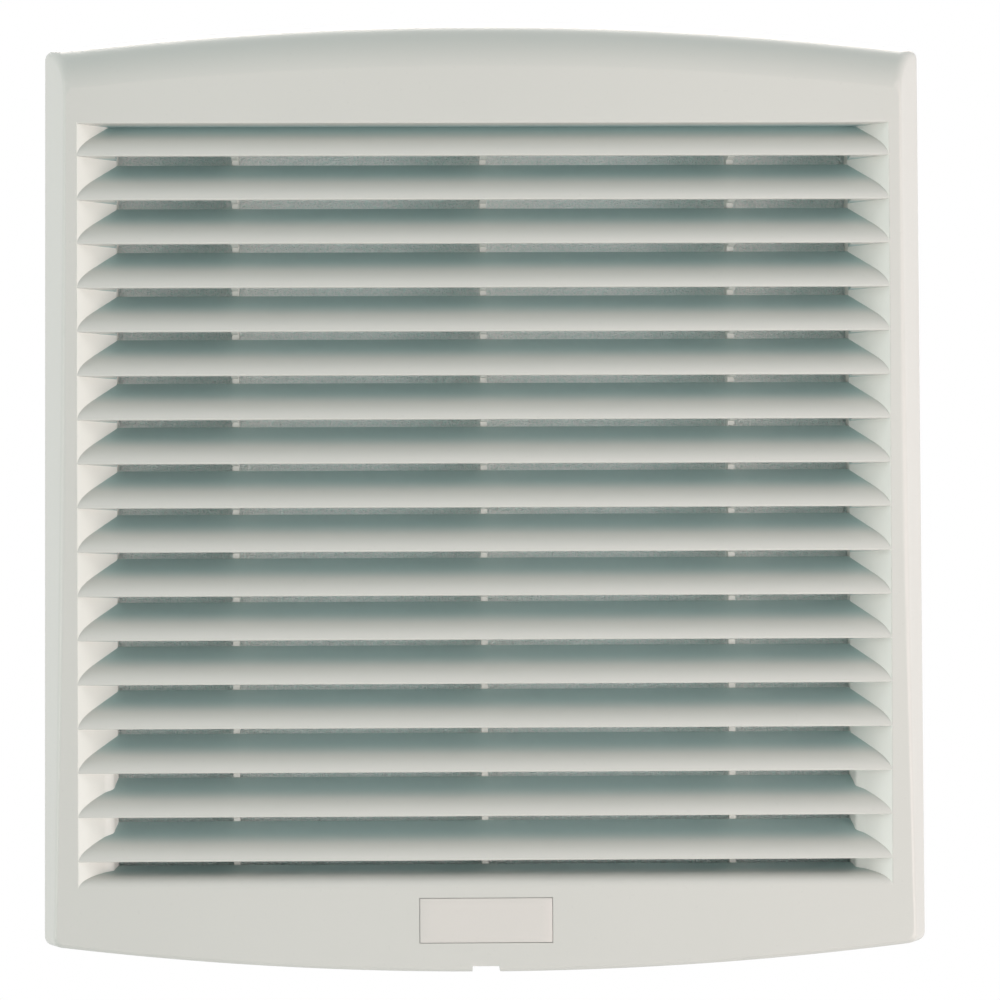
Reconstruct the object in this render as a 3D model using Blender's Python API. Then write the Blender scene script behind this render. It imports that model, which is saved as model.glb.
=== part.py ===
"""Cabinet filter fan: a louvred cover on a snap-in frame, a filter mat, and an axial fan with its guard.

Everything is in metres with +Z up. The outer face of the cabinet panel is the plane Y = 0, the
origin is the centre of the square cut-out, and the louvres face -Y. The fan blows along +Y.
"""

import math

import bmesh
import bpy
from mathutils import Vector

mm = 0.001

# Fits shared by all pieces
GAP = 0.3 * mm
SCREW_PLAY = 0.3 * mm

# Cabinet panel that the fan snaps into
CUTOUT = 223 * mm
CUTOUT_PLAY = 1 * mm
PANEL_GRIP = 2.3 * mm

# Front cover: outline and side profile
COVER_WIDTH = 248 * mm
COVER_HEIGHT = 268 * mm
EDGE_ARC_RADIUS = 1086 * mm
CORNER_RADIUS = 4 * mm
WALL = 2.2 * mm
SKIRT_LAND = 1.5 * mm
FACE_HEIGHT = 14.85 * mm
FACE_RISE = 4.5 * mm
FACE_CROWN = 1.8 * mm
SIDE_BEVEL = 0.416
TOP_ROLL = 11.5 * mm
TOP_DRAFT = 0.1
BOTTOM_ROLL = 1.6 * mm

# Louvre grille
SLATS = 17
HEAD_BAND = 30.3 * mm
FOOT_BAND = 23.5 * mm
SIDE_BAND = 10.1 * mm
HEAD_GAP = 9.2 * mm
SILL_GAP = 7.6 * mm
SIGHT_GAP = 1.3 * mm
SLAT_DEPTH = 11.6 * mm
SLAT_THICKNESS = 1.9 * mm
SLAT_NOSE = 2 * mm
NOSE_LENGTH = 4.5 * mm
SILL_RISE = 6.3 * mm
CHEEK_SLOPE = 0.9
CHEEK_WALL = 2 * mm
RIB_COUNT = 3
RIB_SPACING = 70 * mm
RIB_THICKNESS = 1.8 * mm

# Small features of the cover
NOTCH_WIDTH = 7.8 * mm
NOTCH_DEPTH = 1.5 * mm
PLATE_WIDTH = 37.4 * mm
PLATE_HEIGHT = 12.7 * mm
PLATE_DEPTH = 0.8 * mm
PLATE_ABOVE_FOOT = 14.3 * mm
TONGUE_WIDTH = 12 * mm
TONGUE_THICKNESS = 1.6 * mm
PANEL_PLAY = 0.6 * mm
LATCH_SPACING = 80 * mm
HOOK_SPACING = 150 * mm
SWING_PLAY = 1 * mm
PLATE_PLAY = 0.15 * mm

# Pads that thicken both cheeks beside the lowest slots
PAD_SLOTS = 3
PAD_DEPTH = 7.6 * mm
PAD_STEP = 1.7 * mm
PAD_SWELL = 0.9 * mm

# Base frame and gasket
GASKET_THICKNESS = 1.7 * mm
GASKET_WIDTH = 8 * mm
FLANGE = 2.5 * mm
FLANGE_INSET = 0.4 * mm
COLLAR_WALL = 2 * mm
COLLAR_DEPTH = 30 * mm
COLLAR_RADIUS = 6 * mm
FLOOR = 2.5 * mm
LIP_HEIGHT = 3 * mm
LIP_WALL = 1.6 * mm

# Filter mat and the grid behind it
MAT_THICKNESS = 17 * mm
GRID_THICKNESS = 2.5 * mm
GRID_CELLS = 8
GRID_BAR = 2.4 * mm
GRID_RIM = 5 * mm
PAWL_NOTCH = 2 * mm
MAT_PLAY = 0.8 * mm
POST = 14 * mm

# Snap-in pawls on the two sides of the collar
PAWL_WIDTH = 20 * mm
PAWL_SPACING = 140 * mm
PAWL_CATCH = 3 * mm
PAWL_ARM = 4 * mm
PAWL_KNUCKLE = 2.6 * mm
PAWL_PIN = 1.5 * mm
PAWL_WALL = 1.6 * mm
EAR_WALL = 2 * mm

# Axial fan
DUCT_RADIUS = 70 * mm
FAN_DEPTH = 51 * mm
FAN_FLANGE = 4 * mm
FLANGE_REACH = 16 * mm
FLAT_REACH = 5 * mm
DUCT_WALL = 2.6 * mm
BELL_FLARE = 2.2 * mm
BELL_LENGTH = 7 * mm
SCREW_EDGE = 5 * mm
SCREW_ANGLE = math.radians(62)
SCREW_RADIUS = 2 * mm
SCREW_HEAD_RADIUS = 3.8 * mm
SCREW_HEAD = 2.6 * mm
FAN_SCREW_LENGTH = 10 * mm
GUARD_SCREW_LENGTH = 8 * mm
BOSS_WALL = 2 * mm
BOSS_HEIGHT = 7 * mm

# Motor in the middle of the fan
MOTOR_PLATE_RADIUS = 31 * mm
MOTOR_PLATE = 3 * mm
MOTOR_PLATE_SET_BACK = 2 * mm
STRUTS = 4
STRUT_WIDTH = 6 * mm
STRUT_HEIGHT = 5 * mm
BEARING_SEAT = 8 * mm
BEARING_TUBE_WALL = 1.8 * mm
BEARING_WIDTH = 6 * mm
SHAFT_RADIUS = 3 * mm
STATOR_RADIUS = 24.5 * mm
STATOR_LENGTH = 20 * mm
STATOR_POLES = 8
ROTOR_RING = 4.5 * mm
AIR_GAP = 0.4 * mm
CUP_WALL = 1.8 * mm
CUP_LENGTH = 35 * mm
CUP_PLAY = 3 * mm
YOKE = 4 * mm
END_TURNS = 3 * mm

# Impeller
BLADES = 5
BLADE_TIP_GAP = 1.5 * mm
BLADE_ROOT_CHORD = 34 * mm
BLADE_TIP_CHORD = 52 * mm
BLADE_ROOT_PITCH = math.radians(46)
BLADE_TIP_PITCH = math.radians(27)
BLADE_SWEEP = math.radians(16)
BLADE_SHEET = 1.2 * mm
BLADE_CAMBER = 0.09
SLEEVE_WALL = 1.5 * mm
SLEEVE_LENGTH = 27 * mm

# Wire guard behind the fan
WIRE_RADIUS = 0.9 * mm
GUARD_RINGS = 5
GUARD_PITCH = 12.5 * mm
GUARD_STAND = 5 * mm
GUARD_EYE_RADIUS = 5 * mm
GUARD_EYE = 1.6 * mm

# Terminal block on the frame's floor
TERMINALS = 3
TERMINAL_PITCH = 9 * mm
TERMINAL_DEPTH = 16 * mm
TERMINAL_HEIGHT = 14 * mm
TERMINAL_WALL = 2 * mm
TERMINAL_SCREW_RADIUS = 1.9 * mm
TERMINAL_INSET = 6 * mm
TERMINAL_WELL = 6 * mm
WIRE_ENTRY = 5 * mm

# Places along Y, each from the piece that it seats on
FLANGE_REAR = -(GASKET_THICKNESS + GAP)
FLANGE_FRONT = FLANGE_REAR - FLANGE
COVER_REAR = FLANGE_FRONT - GAP
RIM = COVER_REAR - SKIRT_LAND
COLLAR_HALF = (CUTOUT - 2 * CUTOUT_PLAY) / 2
TRAY_HALF = COLLAR_HALF - COLLAR_WALL
MAT_FRONT = GAP
MAT_REAR = MAT_FRONT + MAT_THICKNESS
GRID_FRONT = MAT_REAR + GAP
GRID_REAR = GRID_FRONT + GRID_THICKNESS
FLOOR_REAR = COLLAR_DEPTH
FLOOR_FRONT = FLOOR_REAR - FLOOR
FAN_FRONT = FLOOR_REAR + GAP
FAN_REAR = FAN_FRONT + FAN_DEPTH
FAN_RADIUS = DUCT_RADIUS + FLANGE_REACH
FAN_HALF = DUCT_RADIUS + FLAT_REACH
SCREW_CIRCLE_RADIUS = FAN_RADIUS - SCREW_EDGE

# Places of the louvres
OPENING_TOP = COVER_HEIGHT / 2 - HEAD_BAND
OPENING_BOTTOM = FOOT_BAND - COVER_HEIGHT / 2
OPENING_HALF = COVER_WIDTH / 2 - SIDE_BAND
FIRST_LIP = OPENING_TOP - HEAD_GAP
LAST_LIP = OPENING_BOTTOM + SILL_GAP
PITCH = (FIRST_LIP - LAST_LIP) / (SLATS - 1)
SLAT_RISE = PITCH - SIGHT_GAP
WINDOW_HALF = OPENING_HALF - CHEEK_SLOPE * SLAT_DEPTH


# Materials

def finish(name, colour, roughness, metallic=0.0):
    material = bpy.data.materials.new(name)
    material.use_nodes = True
    shader = material.node_tree.nodes["Principled BSDF"]
    shader.inputs["Base Color"].default_value = (*colour, 1.0)
    shader.inputs["Roughness"].default_value = roughness
    shader.inputs["Metallic"].default_value = metallic
    return material


# Meshes from outlines, rings and profiles

def solid(name, points, faces, material):
    """A closed mesh object with its faces pointing out, smooth below 35 degrees."""
    mesh = bpy.data.meshes.new(name)
    mesh.from_pydata([tuple(p) for p in points], [], faces)
    mesh.validate()
    work = bmesh.new()
    work.from_mesh(mesh)
    bmesh.ops.recalc_face_normals(work, faces=work.faces)
    work.to_mesh(mesh)
    work.free()
    mesh.shade_smooth()
    mesh.set_sharp_from_angle(angle=math.radians(35))
    mesh.materials.append(material)
    thing = bpy.data.objects.new(name, mesh)
    bpy.context.collection.objects.link(thing)
    return thing


def ring_faces(rings, count, first=0):
    """Quads between rings of equal count, with a cap on each end."""
    faces = []
    for level in range(rings - 1):
        low = first + level * count
        high = low + count
        for i in range(count):
            j = (i + 1) % count
            faces.append((low + i, low + j, high + j, high + i))
    faces.append(tuple(range(first, first + count)))
    last = first + (rings - 1) * count
    faces.append(tuple(range(last, last + count)))
    return faces


def loft(name, rings, material):
    points = [p for ring in rings for p in ring]
    return solid(name, points, ring_faces(len(rings), len(rings[0])), material)


def loft_group(name, solids, material):
    """Several lofts that don't touch, in one mesh: a tool that cuts in many places at once."""
    points = []
    faces = []
    for rings in solids:
        faces += ring_faces(len(rings), len(rings[0]), len(points))
        points += [p for ring in rings for p in ring]
    return solid(name, points, faces, material)


def along_y(outline, low, high):
    """The two rings of a prism along Y over an outline of (x, z) points."""
    return [[(x, y, z) for x, z in outline] for y in (low, high)]


def along_x(outline, low, high):
    """The two rings of a prism along X over an outline of (y, z) points."""
    return [[(x, y, z) for y, z in outline] for x in (low, high)]


def along_z(outline, low, high):
    """The two rings of a prism along Z over an outline of (x, y) points."""
    return [[(x, y, z) for x, y in outline] for z in (low, high)]


def box_rings(low, high):
    outline = [(low[0], low[2]), (high[0], low[2]), (high[0], high[2]), (low[0], high[2])]
    return along_y(outline, low[1], high[1])


def box(name, low, high, material):
    return loft(name, box_rings(low, high), material)


def circle(radius, segments, x=0.0, z=0.0, turn=0.0):
    angles = [turn + 2 * math.pi * i / segments for i in range(segments)]
    return [(x + radius * math.cos(a), z + radius * math.sin(a)) for a in angles]


def rounded_square(half, radius, steps=4):
    points = []
    for quarter, (sx, sz) in enumerate(((1, 1), (-1, 1), (-1, -1), (1, -1))):
        for i in range(steps + 1):
            angle = math.pi / 2 * (quarter + i / steps)
            x = sx * (half - radius) + radius * math.cos(angle)
            z = sz * (half - radius) + radius * math.sin(angle)
            points.append((x, z))
    return points


def turned(name, profile, segments, material, x=0.0, z=0.0):
    """A closed profile of (radius, y) points turned about the line through (x, z) along Y."""
    points = []
    rows = []
    for radius, y in profile:
        if radius < 1e-7:
            rows.append([len(points)] * segments)
            points.append((x, y, z))
            continue
        rows.append([len(points) + i for i in range(segments)])
        points += [(px, y, pz) for px, pz in circle(radius, segments, x, z)]
    faces = []
    for k, row in enumerate(rows):
        after = rows[(k + 1) % len(rows)]
        for i in range(segments):
            j = (i + 1) % segments
            corners = dict.fromkeys((row[i], row[j], after[j], after[i]))
            if len(corners) > 2:
                faces.append(tuple(corners))
    return solid(name, points, faces, material)


def tube_rings(path, radius, sides):
    """Rings along a path of points, each ring square to the path there."""
    path = [Vector(p) for p in path]
    rings = []
    side = None
    for i, point in enumerate(path):
        ahead = path[min(i + 1, len(path) - 1)] - point
        behind = point - path[max(i - 1, 0)]
        along = (ahead.normalized() + behind.normalized()).normalized()
        if side is None:
            side = along.orthogonal().normalized()
        side = (side - along * side.dot(along)).normalized()
        up = along.cross(side)
        angles = [2 * math.pi * k / sides for k in range(sides)]
        rings.append([point + radius * (math.cos(a) * side + math.sin(a) * up) for a in angles])
    return rings


def combine(target, tool, operation):
    """Cut, join or intersect with a tool that stays in the file as a hidden guide."""
    modifier = target.modifiers.new(tool.name, "BOOLEAN")
    modifier.operation = operation
    modifier.solver = "EXACT"
    modifier.object = tool
    tool.hide_render = True
    tool.display_type = "WIRE"
    return target


def cut(target, tool):
    return combine(target, tool, "DIFFERENCE")


def join(target, tool):
    return combine(target, tool, "UNION")


# Shape of the cover

def cover_outline(side, top, bottom, corner):
    """The cover's outline as (x, z), drawn in from each edge: arcs above and below, straight sides."""
    corner_steps = 3
    arc_steps = 10
    half = COVER_WIDTH / 2 - side
    points = []
    for sign, inset in ((1, top), (-1, bottom)):
        centre = COVER_HEIGHT / 2 - inset - EDGE_ARC_RADIUS
        corner_x = half - corner
        corner_z = centre + math.sqrt((EDGE_ARC_RADIUS - corner) ** 2 - corner_x ** 2)
        meet = math.atan2(corner_z - centre, corner_x)
        upper = []
        for i in range(corner_steps):
            angle = meet * i / corner_steps
            upper.append((corner_x + corner * math.cos(angle), corner_z + corner * math.sin(angle)))
        for i in range(arc_steps + 1):
            angle = meet + (math.pi - 2 * meet) * i / arc_steps
            upper.append((EDGE_ARC_RADIUS * math.cos(angle), centre + EDGE_ARC_RADIUS * math.sin(angle)))
        for i in reversed(range(corner_steps)):
            angle = meet * i / corner_steps
            upper.append((-corner_x - corner * math.cos(angle), corner_z + corner * math.sin(angle)))
        points += [(sign * x, sign * z) for x, z in upper]
    return points


def face_height(z):
    """Height of the cover's front face above its widest line: thick at the head, thin at the foot."""
    share = z / (COVER_HEIGHT / 2)
    return FACE_HEIGHT + FACE_RISE * share - FACE_CROWN * share * share


def face_y(z):
    return RIM - face_height(z)


def top_inset(height):
    """The head's edge rolls over in an ellipse that ends level with the face."""
    full = face_height(COVER_HEIGHT / 2)
    share = min(height / full, 1.0)
    return TOP_DRAFT * height + TOP_ROLL * (1 - math.sqrt(max(0.0, 1 - share * share)))


def bottom_inset(height):
    """The foot's edge is a quarter round, also level with the face."""
    full = face_height(-COVER_HEIGHT / 2)
    below = full - BOTTOM_ROLL
    if height <= below:
        return 0.0
    share = min((height - below) / BOTTOM_ROLL, 1.0)
    return BOTTOM_ROLL * (1 - math.sqrt(max(0.0, 1 - share * share)))


def cover_form(name, inset, rear, material):
    """The cover's outer form, or its inner form where inset is the wall."""
    full = face_height(COVER_HEIGHT / 2)
    foot = face_height(-COVER_HEIGHT / 2)
    shares = (0, 0.4, 0.66, 0.82, 0.92, 0.98, 1.0)
    heights = [full * s for s in shares]
    heights += [foot - BOTTOM_ROLL * (1 - s) for s in (0.0, 0.6, 1.0)]
    heights = sorted(heights)
    corner = max(CORNER_RADIUS - inset, 1 * mm)
    rings = [[(x, rear, z) for x, z in cover_outline(inset, inset, inset, corner)]]
    for height in heights:
        side = inset + SIDE_BEVEL * height
        outline = cover_outline(side, inset + top_inset(height), inset + bottom_inset(height), corner)
        rings.append([(x, RIM - height + inset, z) for x, z in outline])
    beyond = full + 2 * inset + 2 * mm
    outline = cover_outline(inset + SIDE_BEVEL * beyond, inset + top_inset(full), inset + BOTTOM_ROLL, corner)
    rings.append([(x, RIM - beyond, z) for x, z in outline])
    form = loft(name, rings, material)
    reach = COVER_HEIGHT / 2 + 5 * mm
    steps = 16
    profile = []
    for i in range(steps + 1):
        z = -reach + 2 * reach * i / steps
        profile.append((face_y(z) + inset, z))
    profile += [(rear + 5 * mm, reach), (rear + 5 * mm, -reach)]
    face = loft(name + "_face", along_x(profile, -COVER_WIDTH, COVER_WIDTH), material)
    return combine(form, face, "INTERSECT")


def slat_curve(rise):
    """Top of a slat as (depth behind the lip, height): a rounded nose, then a straight slope."""
    slope = (rise - SLAT_NOSE) / SLAT_DEPTH
    end = (NOSE_LENGTH, SLAT_NOSE + slope * NOSE_LENGTH)
    points = []
    steps = 3
    for i in range(steps + 1):
        t = i / steps
        points.append((t * t * end[0], 2 * t * (1 - t) * SLAT_NOSE + t * t * end[1]))
    points.append((SLAT_DEPTH, rise))
    return points


def slat_underside(rise):
    """The same curve moved square to itself by the slat's thickness, from the lip's flat foot."""
    top = slat_curve(rise)
    points = []
    for i in range(1, len(top)):
        before = top[max(i - 1, 0)]
        after = top[min(i + 1, len(top) - 1)]
        run = math.hypot(after[0] - before[0], after[1] - before[1])
        depth = top[i][0] + SLAT_THICKNESS * (after[1] - before[1]) / run
        height = top[i][1] - SLAT_THICKNESS * (after[0] - before[0]) / run
        points.append((depth, height))
    while points[0][1] < 0.2 * mm:
        points.pop(0)
    return points


def slot_rings(lip, curve, ceiling):
    """Air in front of one slat: its ends follow the sloping cheeks, so each depth has its own width."""
    front = -4 * mm
    overlap = 0.4 * mm
    outline = [(front, -overlap), (-0.02 * mm, -overlap)] + curve
    if curve[-1][1] < ceiling - 0.01 * mm:
        outline.append((curve[-1][0], ceiling))
    outline.append((front, ceiling))
    start = face_y(lip)
    rings = []
    for side in (-1, 1):
        ring = []
        for depth, height in outline:
            half = OPENING_HALF - CHEEK_SLOPE * depth
            ring.append((side * half, start + depth, lip + height))
        rings.append(ring)
    return rings


def rib_bays():
    """The clear spans (low x, high x) between the cheeks and the upright ribs."""
    edges = [-WINDOW_HALF]
    for i in range(RIB_COUNT):
        x = (i - (RIB_COUNT - 1) / 2) * RIB_SPACING
        edges += [x - RIB_THICKNESS / 2, x + RIB_THICKNESS / 2]
    edges.append(WINDOW_HALF)
    return list(zip(edges[0::2], edges[1::2]))


def lips():
    return [FIRST_LIP - i * PITCH for i in range(SLATS)]


def louvre_tools(material):
    """Tools for the grille: slots from the front, hollows under the slats, and the window behind."""
    curve = slat_curve(SLAT_RISE)
    places = lips()
    slots = []
    for i, lip in enumerate(places):
        if i == 0:
            slots.append(slot_rings(lip, clip_curve(curve, HEAD_GAP), HEAD_GAP))
        else:
            slots.append(slot_rings(lip, curve, PITCH))
    slots.append(slot_rings(OPENING_BOTTOM, slat_curve(SILL_RISE), SILL_GAP))
    under = slat_underside(SLAT_RISE)
    step = 0.5 * mm
    beyond = SLAT_DEPTH + 3 * step
    hollows = []
    for lip in places:
        start = face_y(lip)
        outline = [(under[0][0] - 0.1 * mm, -step)] + under
        outline += [(beyond, under[-1][1]), (beyond, -SIGHT_GAP), (SLAT_DEPTH - step / 4, -SIGHT_GAP),
                    (SLAT_DEPTH - step, -step)]
        outline = [(start + depth, lip + height) for depth, height in outline]
        for low, high in rib_bays():
            hollows.append(along_x(outline, low, high))
    window = []
    top = OPENING_TOP - WALL
    bottom = OPENING_BOTTOM + SILL_RISE - SLAT_THICKNESS / 2
    steps = 6
    outline = []
    for i in range(steps + 1):
        z = bottom + (top - bottom) * i / steps
        outline.append((face_y(z) + SLAT_DEPTH + 0.7 * step, z))
    outline += [(MAT_FRONT, top), (MAT_FRONT, bottom)]
    for low, high in rib_bays():
        window.append(along_x(outline, low, high))
    return [
        loft_group("front_slots_odd", slots[0::2], material),
        loft_group("front_slots_even", slots[1::2], material),
        loft_group("slat_hollows", hollows, material),
        loft_group("mat_window", window, material),
    ]


def clip_curve(curve, height):
    """The part of a slat's curve below a ceiling, ending on it."""
    points = []
    for before, after in zip(curve, curve[1:]):
        points.append(before)
        if after[1] >= height:
            share = (height - before[1]) / (after[1] - before[1])
            points.append((before[0] + share * (after[0] - before[0]), height))
            return points
    return points + [curve[-1]]


def louvre_block(material):
    """What carries the slats: sloping cheeks that end in a straight collar in front of the mat."""
    rear = -GAP - 0.4 * mm
    outer = WINDOW_HALF + CHEEK_WALL
    low = OPENING_BOTTOM - CHEEK_WALL
    high = OPENING_TOP + CHEEK_WALL
    steps = 10
    rings = []
    for i in range(steps + 1):
        z = low + (high - low) * i / steps
        front = face_y(z) - 4 * mm
        bend = face_y(z) + SLAT_DEPTH
        wide = outer + CHEEK_SLOPE * (bend - front)
        ring = [(wide, front), (outer, bend), (outer, rear), (-outer, rear), (-outer, bend), (-wide, front)]
        rings.append([(x, y, z) for x, y in ring])
    return loft("louvre_block", rings, material)


def build_cover(white):
    cover = cover_form("front_cover", 0.0, COVER_REAR, white)
    inside = cover_form("cover_inside", WALL, COVER_REAR + 5 * mm, white)
    block = louvre_block(white)
    sill = [(face_y(OPENING_BOTTOM) + d, OPENING_BOTTOM + h) for d, h in slat_underside(SILL_RISE)]
    below = OPENING_BOTTOM - 4 * WALL
    sill += [(MAT_REAR, sill[-1][1]), (MAT_REAR, below), (sill[0][0], below)]
    cut(block, loft("sill_hollow", along_x(sill, -COVER_WIDTH, COVER_WIDTH), white))
    cut(inside, block)
    cut(cover, inside)
    for tool in louvre_tools(white):
        cut(cover, tool)
    tongues = []
    for x, z, low in tongue_places():
        half = TONGUE_WIDTH / 2
        tongues.append(box_rings((x - half, tongue_root(z), low),
                                 (x + half, -PANEL_PLAY, low + TONGUE_THICKNESS)))
    join(cover, loft_group("tongues", tongues, white))
    join(cover, loft_group("cheek_pads", [cheek_pad(side) for side in (-1, 1)], white))
    notch_low = -COVER_HEIGHT / 2 - 1 * mm
    notch_high = -COVER_HEIGHT / 2 + NOTCH_DEPTH
    cut(cover, box("notch_guide", (-NOTCH_WIDTH / 2, RIM - FACE_HEIGHT, notch_low),
                   (NOTCH_WIDTH / 2, COVER_REAR + 1 * mm, notch_high), white))
    cut(cover, loft("plate_recess", along_x(plate_profile(0.0, -2 * mm, PLATE_DEPTH + 0.2 * mm),
                                            -PLATE_WIDTH / 2, PLATE_WIDTH / 2), white))
    return cover


def cheek_pad(side):
    """A pad on one cheek beside the lowest slots: it swells with the depth and then steps inwards."""
    low = OPENING_BOTTOM
    high = LAST_LIP + (PAD_SLOTS - 1) * PITCH + SLAT_NOSE / 4
    section = [(0.0, 0.0), (PAD_DEPTH / 2, PAD_SWELL), (PAD_DEPTH - PAD_SWELL, 1.5 * PAD_SWELL),
               (PAD_DEPTH, PAD_SWELL + PAD_STEP), (SLAT_DEPTH, PAD_SWELL),
               (SLAT_DEPTH, -PAD_SWELL), (0.0, -PAD_SWELL)]
    steps = 4
    rings = []
    for i in range(steps + 1):
        z = low + (high - low) * i / steps
        ring = []
        for depth, proud in section:
            x = side * (OPENING_HALF - CHEEK_SLOPE * depth - proud)
            ring.append((x, face_y(z) + depth, z))
        rings.append(ring)
    return rings


def lip_inset():
    """How far the frame's locating lip stands in from the cover's outline, clear of the bevel."""
    return WALL + SIDE_BEVEL * (LIP_HEIGHT + WALL) + GAP


def edge_z(x):
    """Height of the outline's upper arc at x."""
    return COVER_HEIGHT / 2 - EDGE_ARC_RADIUS + math.sqrt(EDGE_ARC_RADIUS ** 2 - x * x)


def tongue_places():
    """(x, z of the wall it grows from, lower face) of the four tongues: two above, two below."""
    inset = lip_inset() + LIP_WALL + 2 * GAP
    places = []
    for x in (-HOOK_SPACING / 2, HOOK_SPACING / 2):
        high = edge_z(abs(x) + TONGUE_WIDTH / 2) - inset - GAP
        places.append((x, high, high - TONGUE_THICKNESS))
    for x in (-LATCH_SPACING / 2, LATCH_SPACING / 2):
        low = inset - edge_z(x)
        places.append((x, low, low))
    return places


def tongue_root(z):
    """Where a tongue meets the middle of the cover's wall: under the face, or under the head's roll."""
    root = face_y(z) + WALL / 2
    if z < 0:
        return root
    drawn_in = lip_inset() + LIP_WALL + 3 * GAP - WALL / 2
    height = 0.0
    while top_inset(height) < drawn_in:
        height += 0.1 * mm
    return RIM - height + WALL / 2


def plate_profile(side, front, depth):
    """Section of the name plate's place, following the face, as (y, z) points."""
    low = -COVER_HEIGHT / 2 + PLATE_ABOVE_FOOT - PLATE_HEIGHT / 2 + side
    high = low + PLATE_HEIGHT - 2 * side
    return [
        (face_y(low) + front, low),
        (face_y(high) + front, high),
        (face_y(high) + depth, high),
        (face_y(low) + depth, low),
    ]


def build_plate(white):
    half = PLATE_WIDTH / 2 - PLATE_PLAY
    section = plate_profile(PLATE_PLAY, PLATE_PLAY / 3, PLATE_DEPTH - PLATE_PLAY)
    return loft("blank_plate", along_x(section, -half, half), white)


def pawl_places():
    """(side, z) of the four pawls, two on each side of the collar."""
    return [(side, z) for side in (-1, 1) for z in (PAWL_SPACING / 2, -PAWL_SPACING / 2)]


def pawl_axis():
    """(distance from the middle, depth) of the pawls' axes, just under the collar's outer face."""
    return COLLAR_HALF - PAWL_KNUCKLE, FLOOR_FRONT - PAWL_KNUCKLE - 2 * GAP


def fan_screws():
    """(x, z) of the fan's four screws."""
    radius = SCREW_CIRCLE_RADIUS
    angles = [SCREW_ANGLE, math.pi - SCREW_ANGLE, math.pi + SCREW_ANGLE, -SCREW_ANGLE]
    return [(radius * math.cos(a), radius * math.sin(a)) for a in angles]


def build_base(grey):
    inset = lip_inset()
    corner = CORNER_RADIUS
    base = loft("base_frame", along_y(cover_outline(FLANGE_INSET, FLANGE_INSET, FLANGE_INSET, corner),
                                      FLANGE_FRONT, FLANGE_REAR), grey)
    join(base, loft("lip_block", along_y(cover_outline(inset, inset, inset, corner),
                                         FLANGE_FRONT - LIP_HEIGHT, FLANGE_FRONT + FLANGE / 2), grey))
    inner = inset + LIP_WALL
    cut(base, loft("lip_hollow", along_y(cover_outline(inner, inner, inner, corner),
                                         FLANGE_FRONT - 2 * LIP_HEIGHT, FLANGE_FRONT), grey))
    join(base, loft("collar_block", along_y(rounded_square(COLLAR_HALF, COLLAR_RADIUS),
                                            FLANGE_FRONT + FLANGE / 2, FLOOR_REAR), grey))
    cut(base, loft("tray", along_y(rounded_square(TRAY_HALF, COLLAR_RADIUS - COLLAR_WALL),
                                   FLANGE_FRONT - LIP_HEIGHT, FLOOR_FRONT), grey))
    inlet = DUCT_RADIUS + BELL_FLARE
    cut(base, loft("inlet", along_y(circle(inlet, 40), FLOOR_FRONT - 1 * mm, FLOOR_REAR + 1 * mm), grey))
    posts = []
    for sx, sz in ((1, 1), (-1, 1), (-1, -1), (1, -1)):
        outline = [(0, 0), (POST, 0), (POST, POST), (0, POST)]
        start = TRAY_HALF + COLLAR_WALL / 2 - POST
        outline = [(sx * (start + x), sz * (start + z)) for x, z in outline]
        radius = COLLAR_RADIUS
        outline[2] = (sx * (start + POST - radius / 3), sz * (start + POST - radius / 3))
        posts.append(along_y(outline, GRID_REAR + GAP, FLOOR_FRONT + FLOOR / 2))
    join(base, loft_group("mat_posts", posts, grey))
    bosses = [along_y(circle(SCREW_RADIUS + SCREW_PLAY + BOSS_WALL, 16, x, z),
                      FLOOR_REAR - BOSS_HEIGHT, FLOOR_REAR - FLOOR / 2) for x, z in fan_screws()]
    join(base, loft_group("fan_bosses", bosses, grey))
    holes = [along_y(circle(SCREW_RADIUS + SCREW_PLAY, 16, x, z),
                     FLOOR_REAR - BOSS_HEIGHT - 1 * mm, FLOOR_REAR + 1 * mm) for x, z in fan_screws()]
    cut(base, loft_group("fan_screw_holes", holes, grey))
    cut_pawl_seats(base, grey)
    slots = []
    for x, z, low in tongue_places():
        below = SWING_PLAY if z > 0 else 0.0
        slots.append(box_rings((x - TONGUE_WIDTH / 2 - GAP, FLANGE_FRONT - LIP_HEIGHT / 2, low - GAP - below),
                               (x + TONGUE_WIDTH / 2 + GAP, FLANGE_REAR + 1 * mm, low + TONGUE_THICKNESS + GAP)))
    slots.append(box_rings((-NOTCH_WIDTH / 2, FLANGE_FRONT - 1 * mm, -COVER_HEIGHT / 2 - 1 * mm),
                           (NOTCH_WIDTH / 2, FLANGE_REAR + 1 * mm, NOTCH_DEPTH - COVER_HEIGHT / 2)))
    cut(base, loft_group("tongue_slots", slots, grey))
    return base


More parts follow.
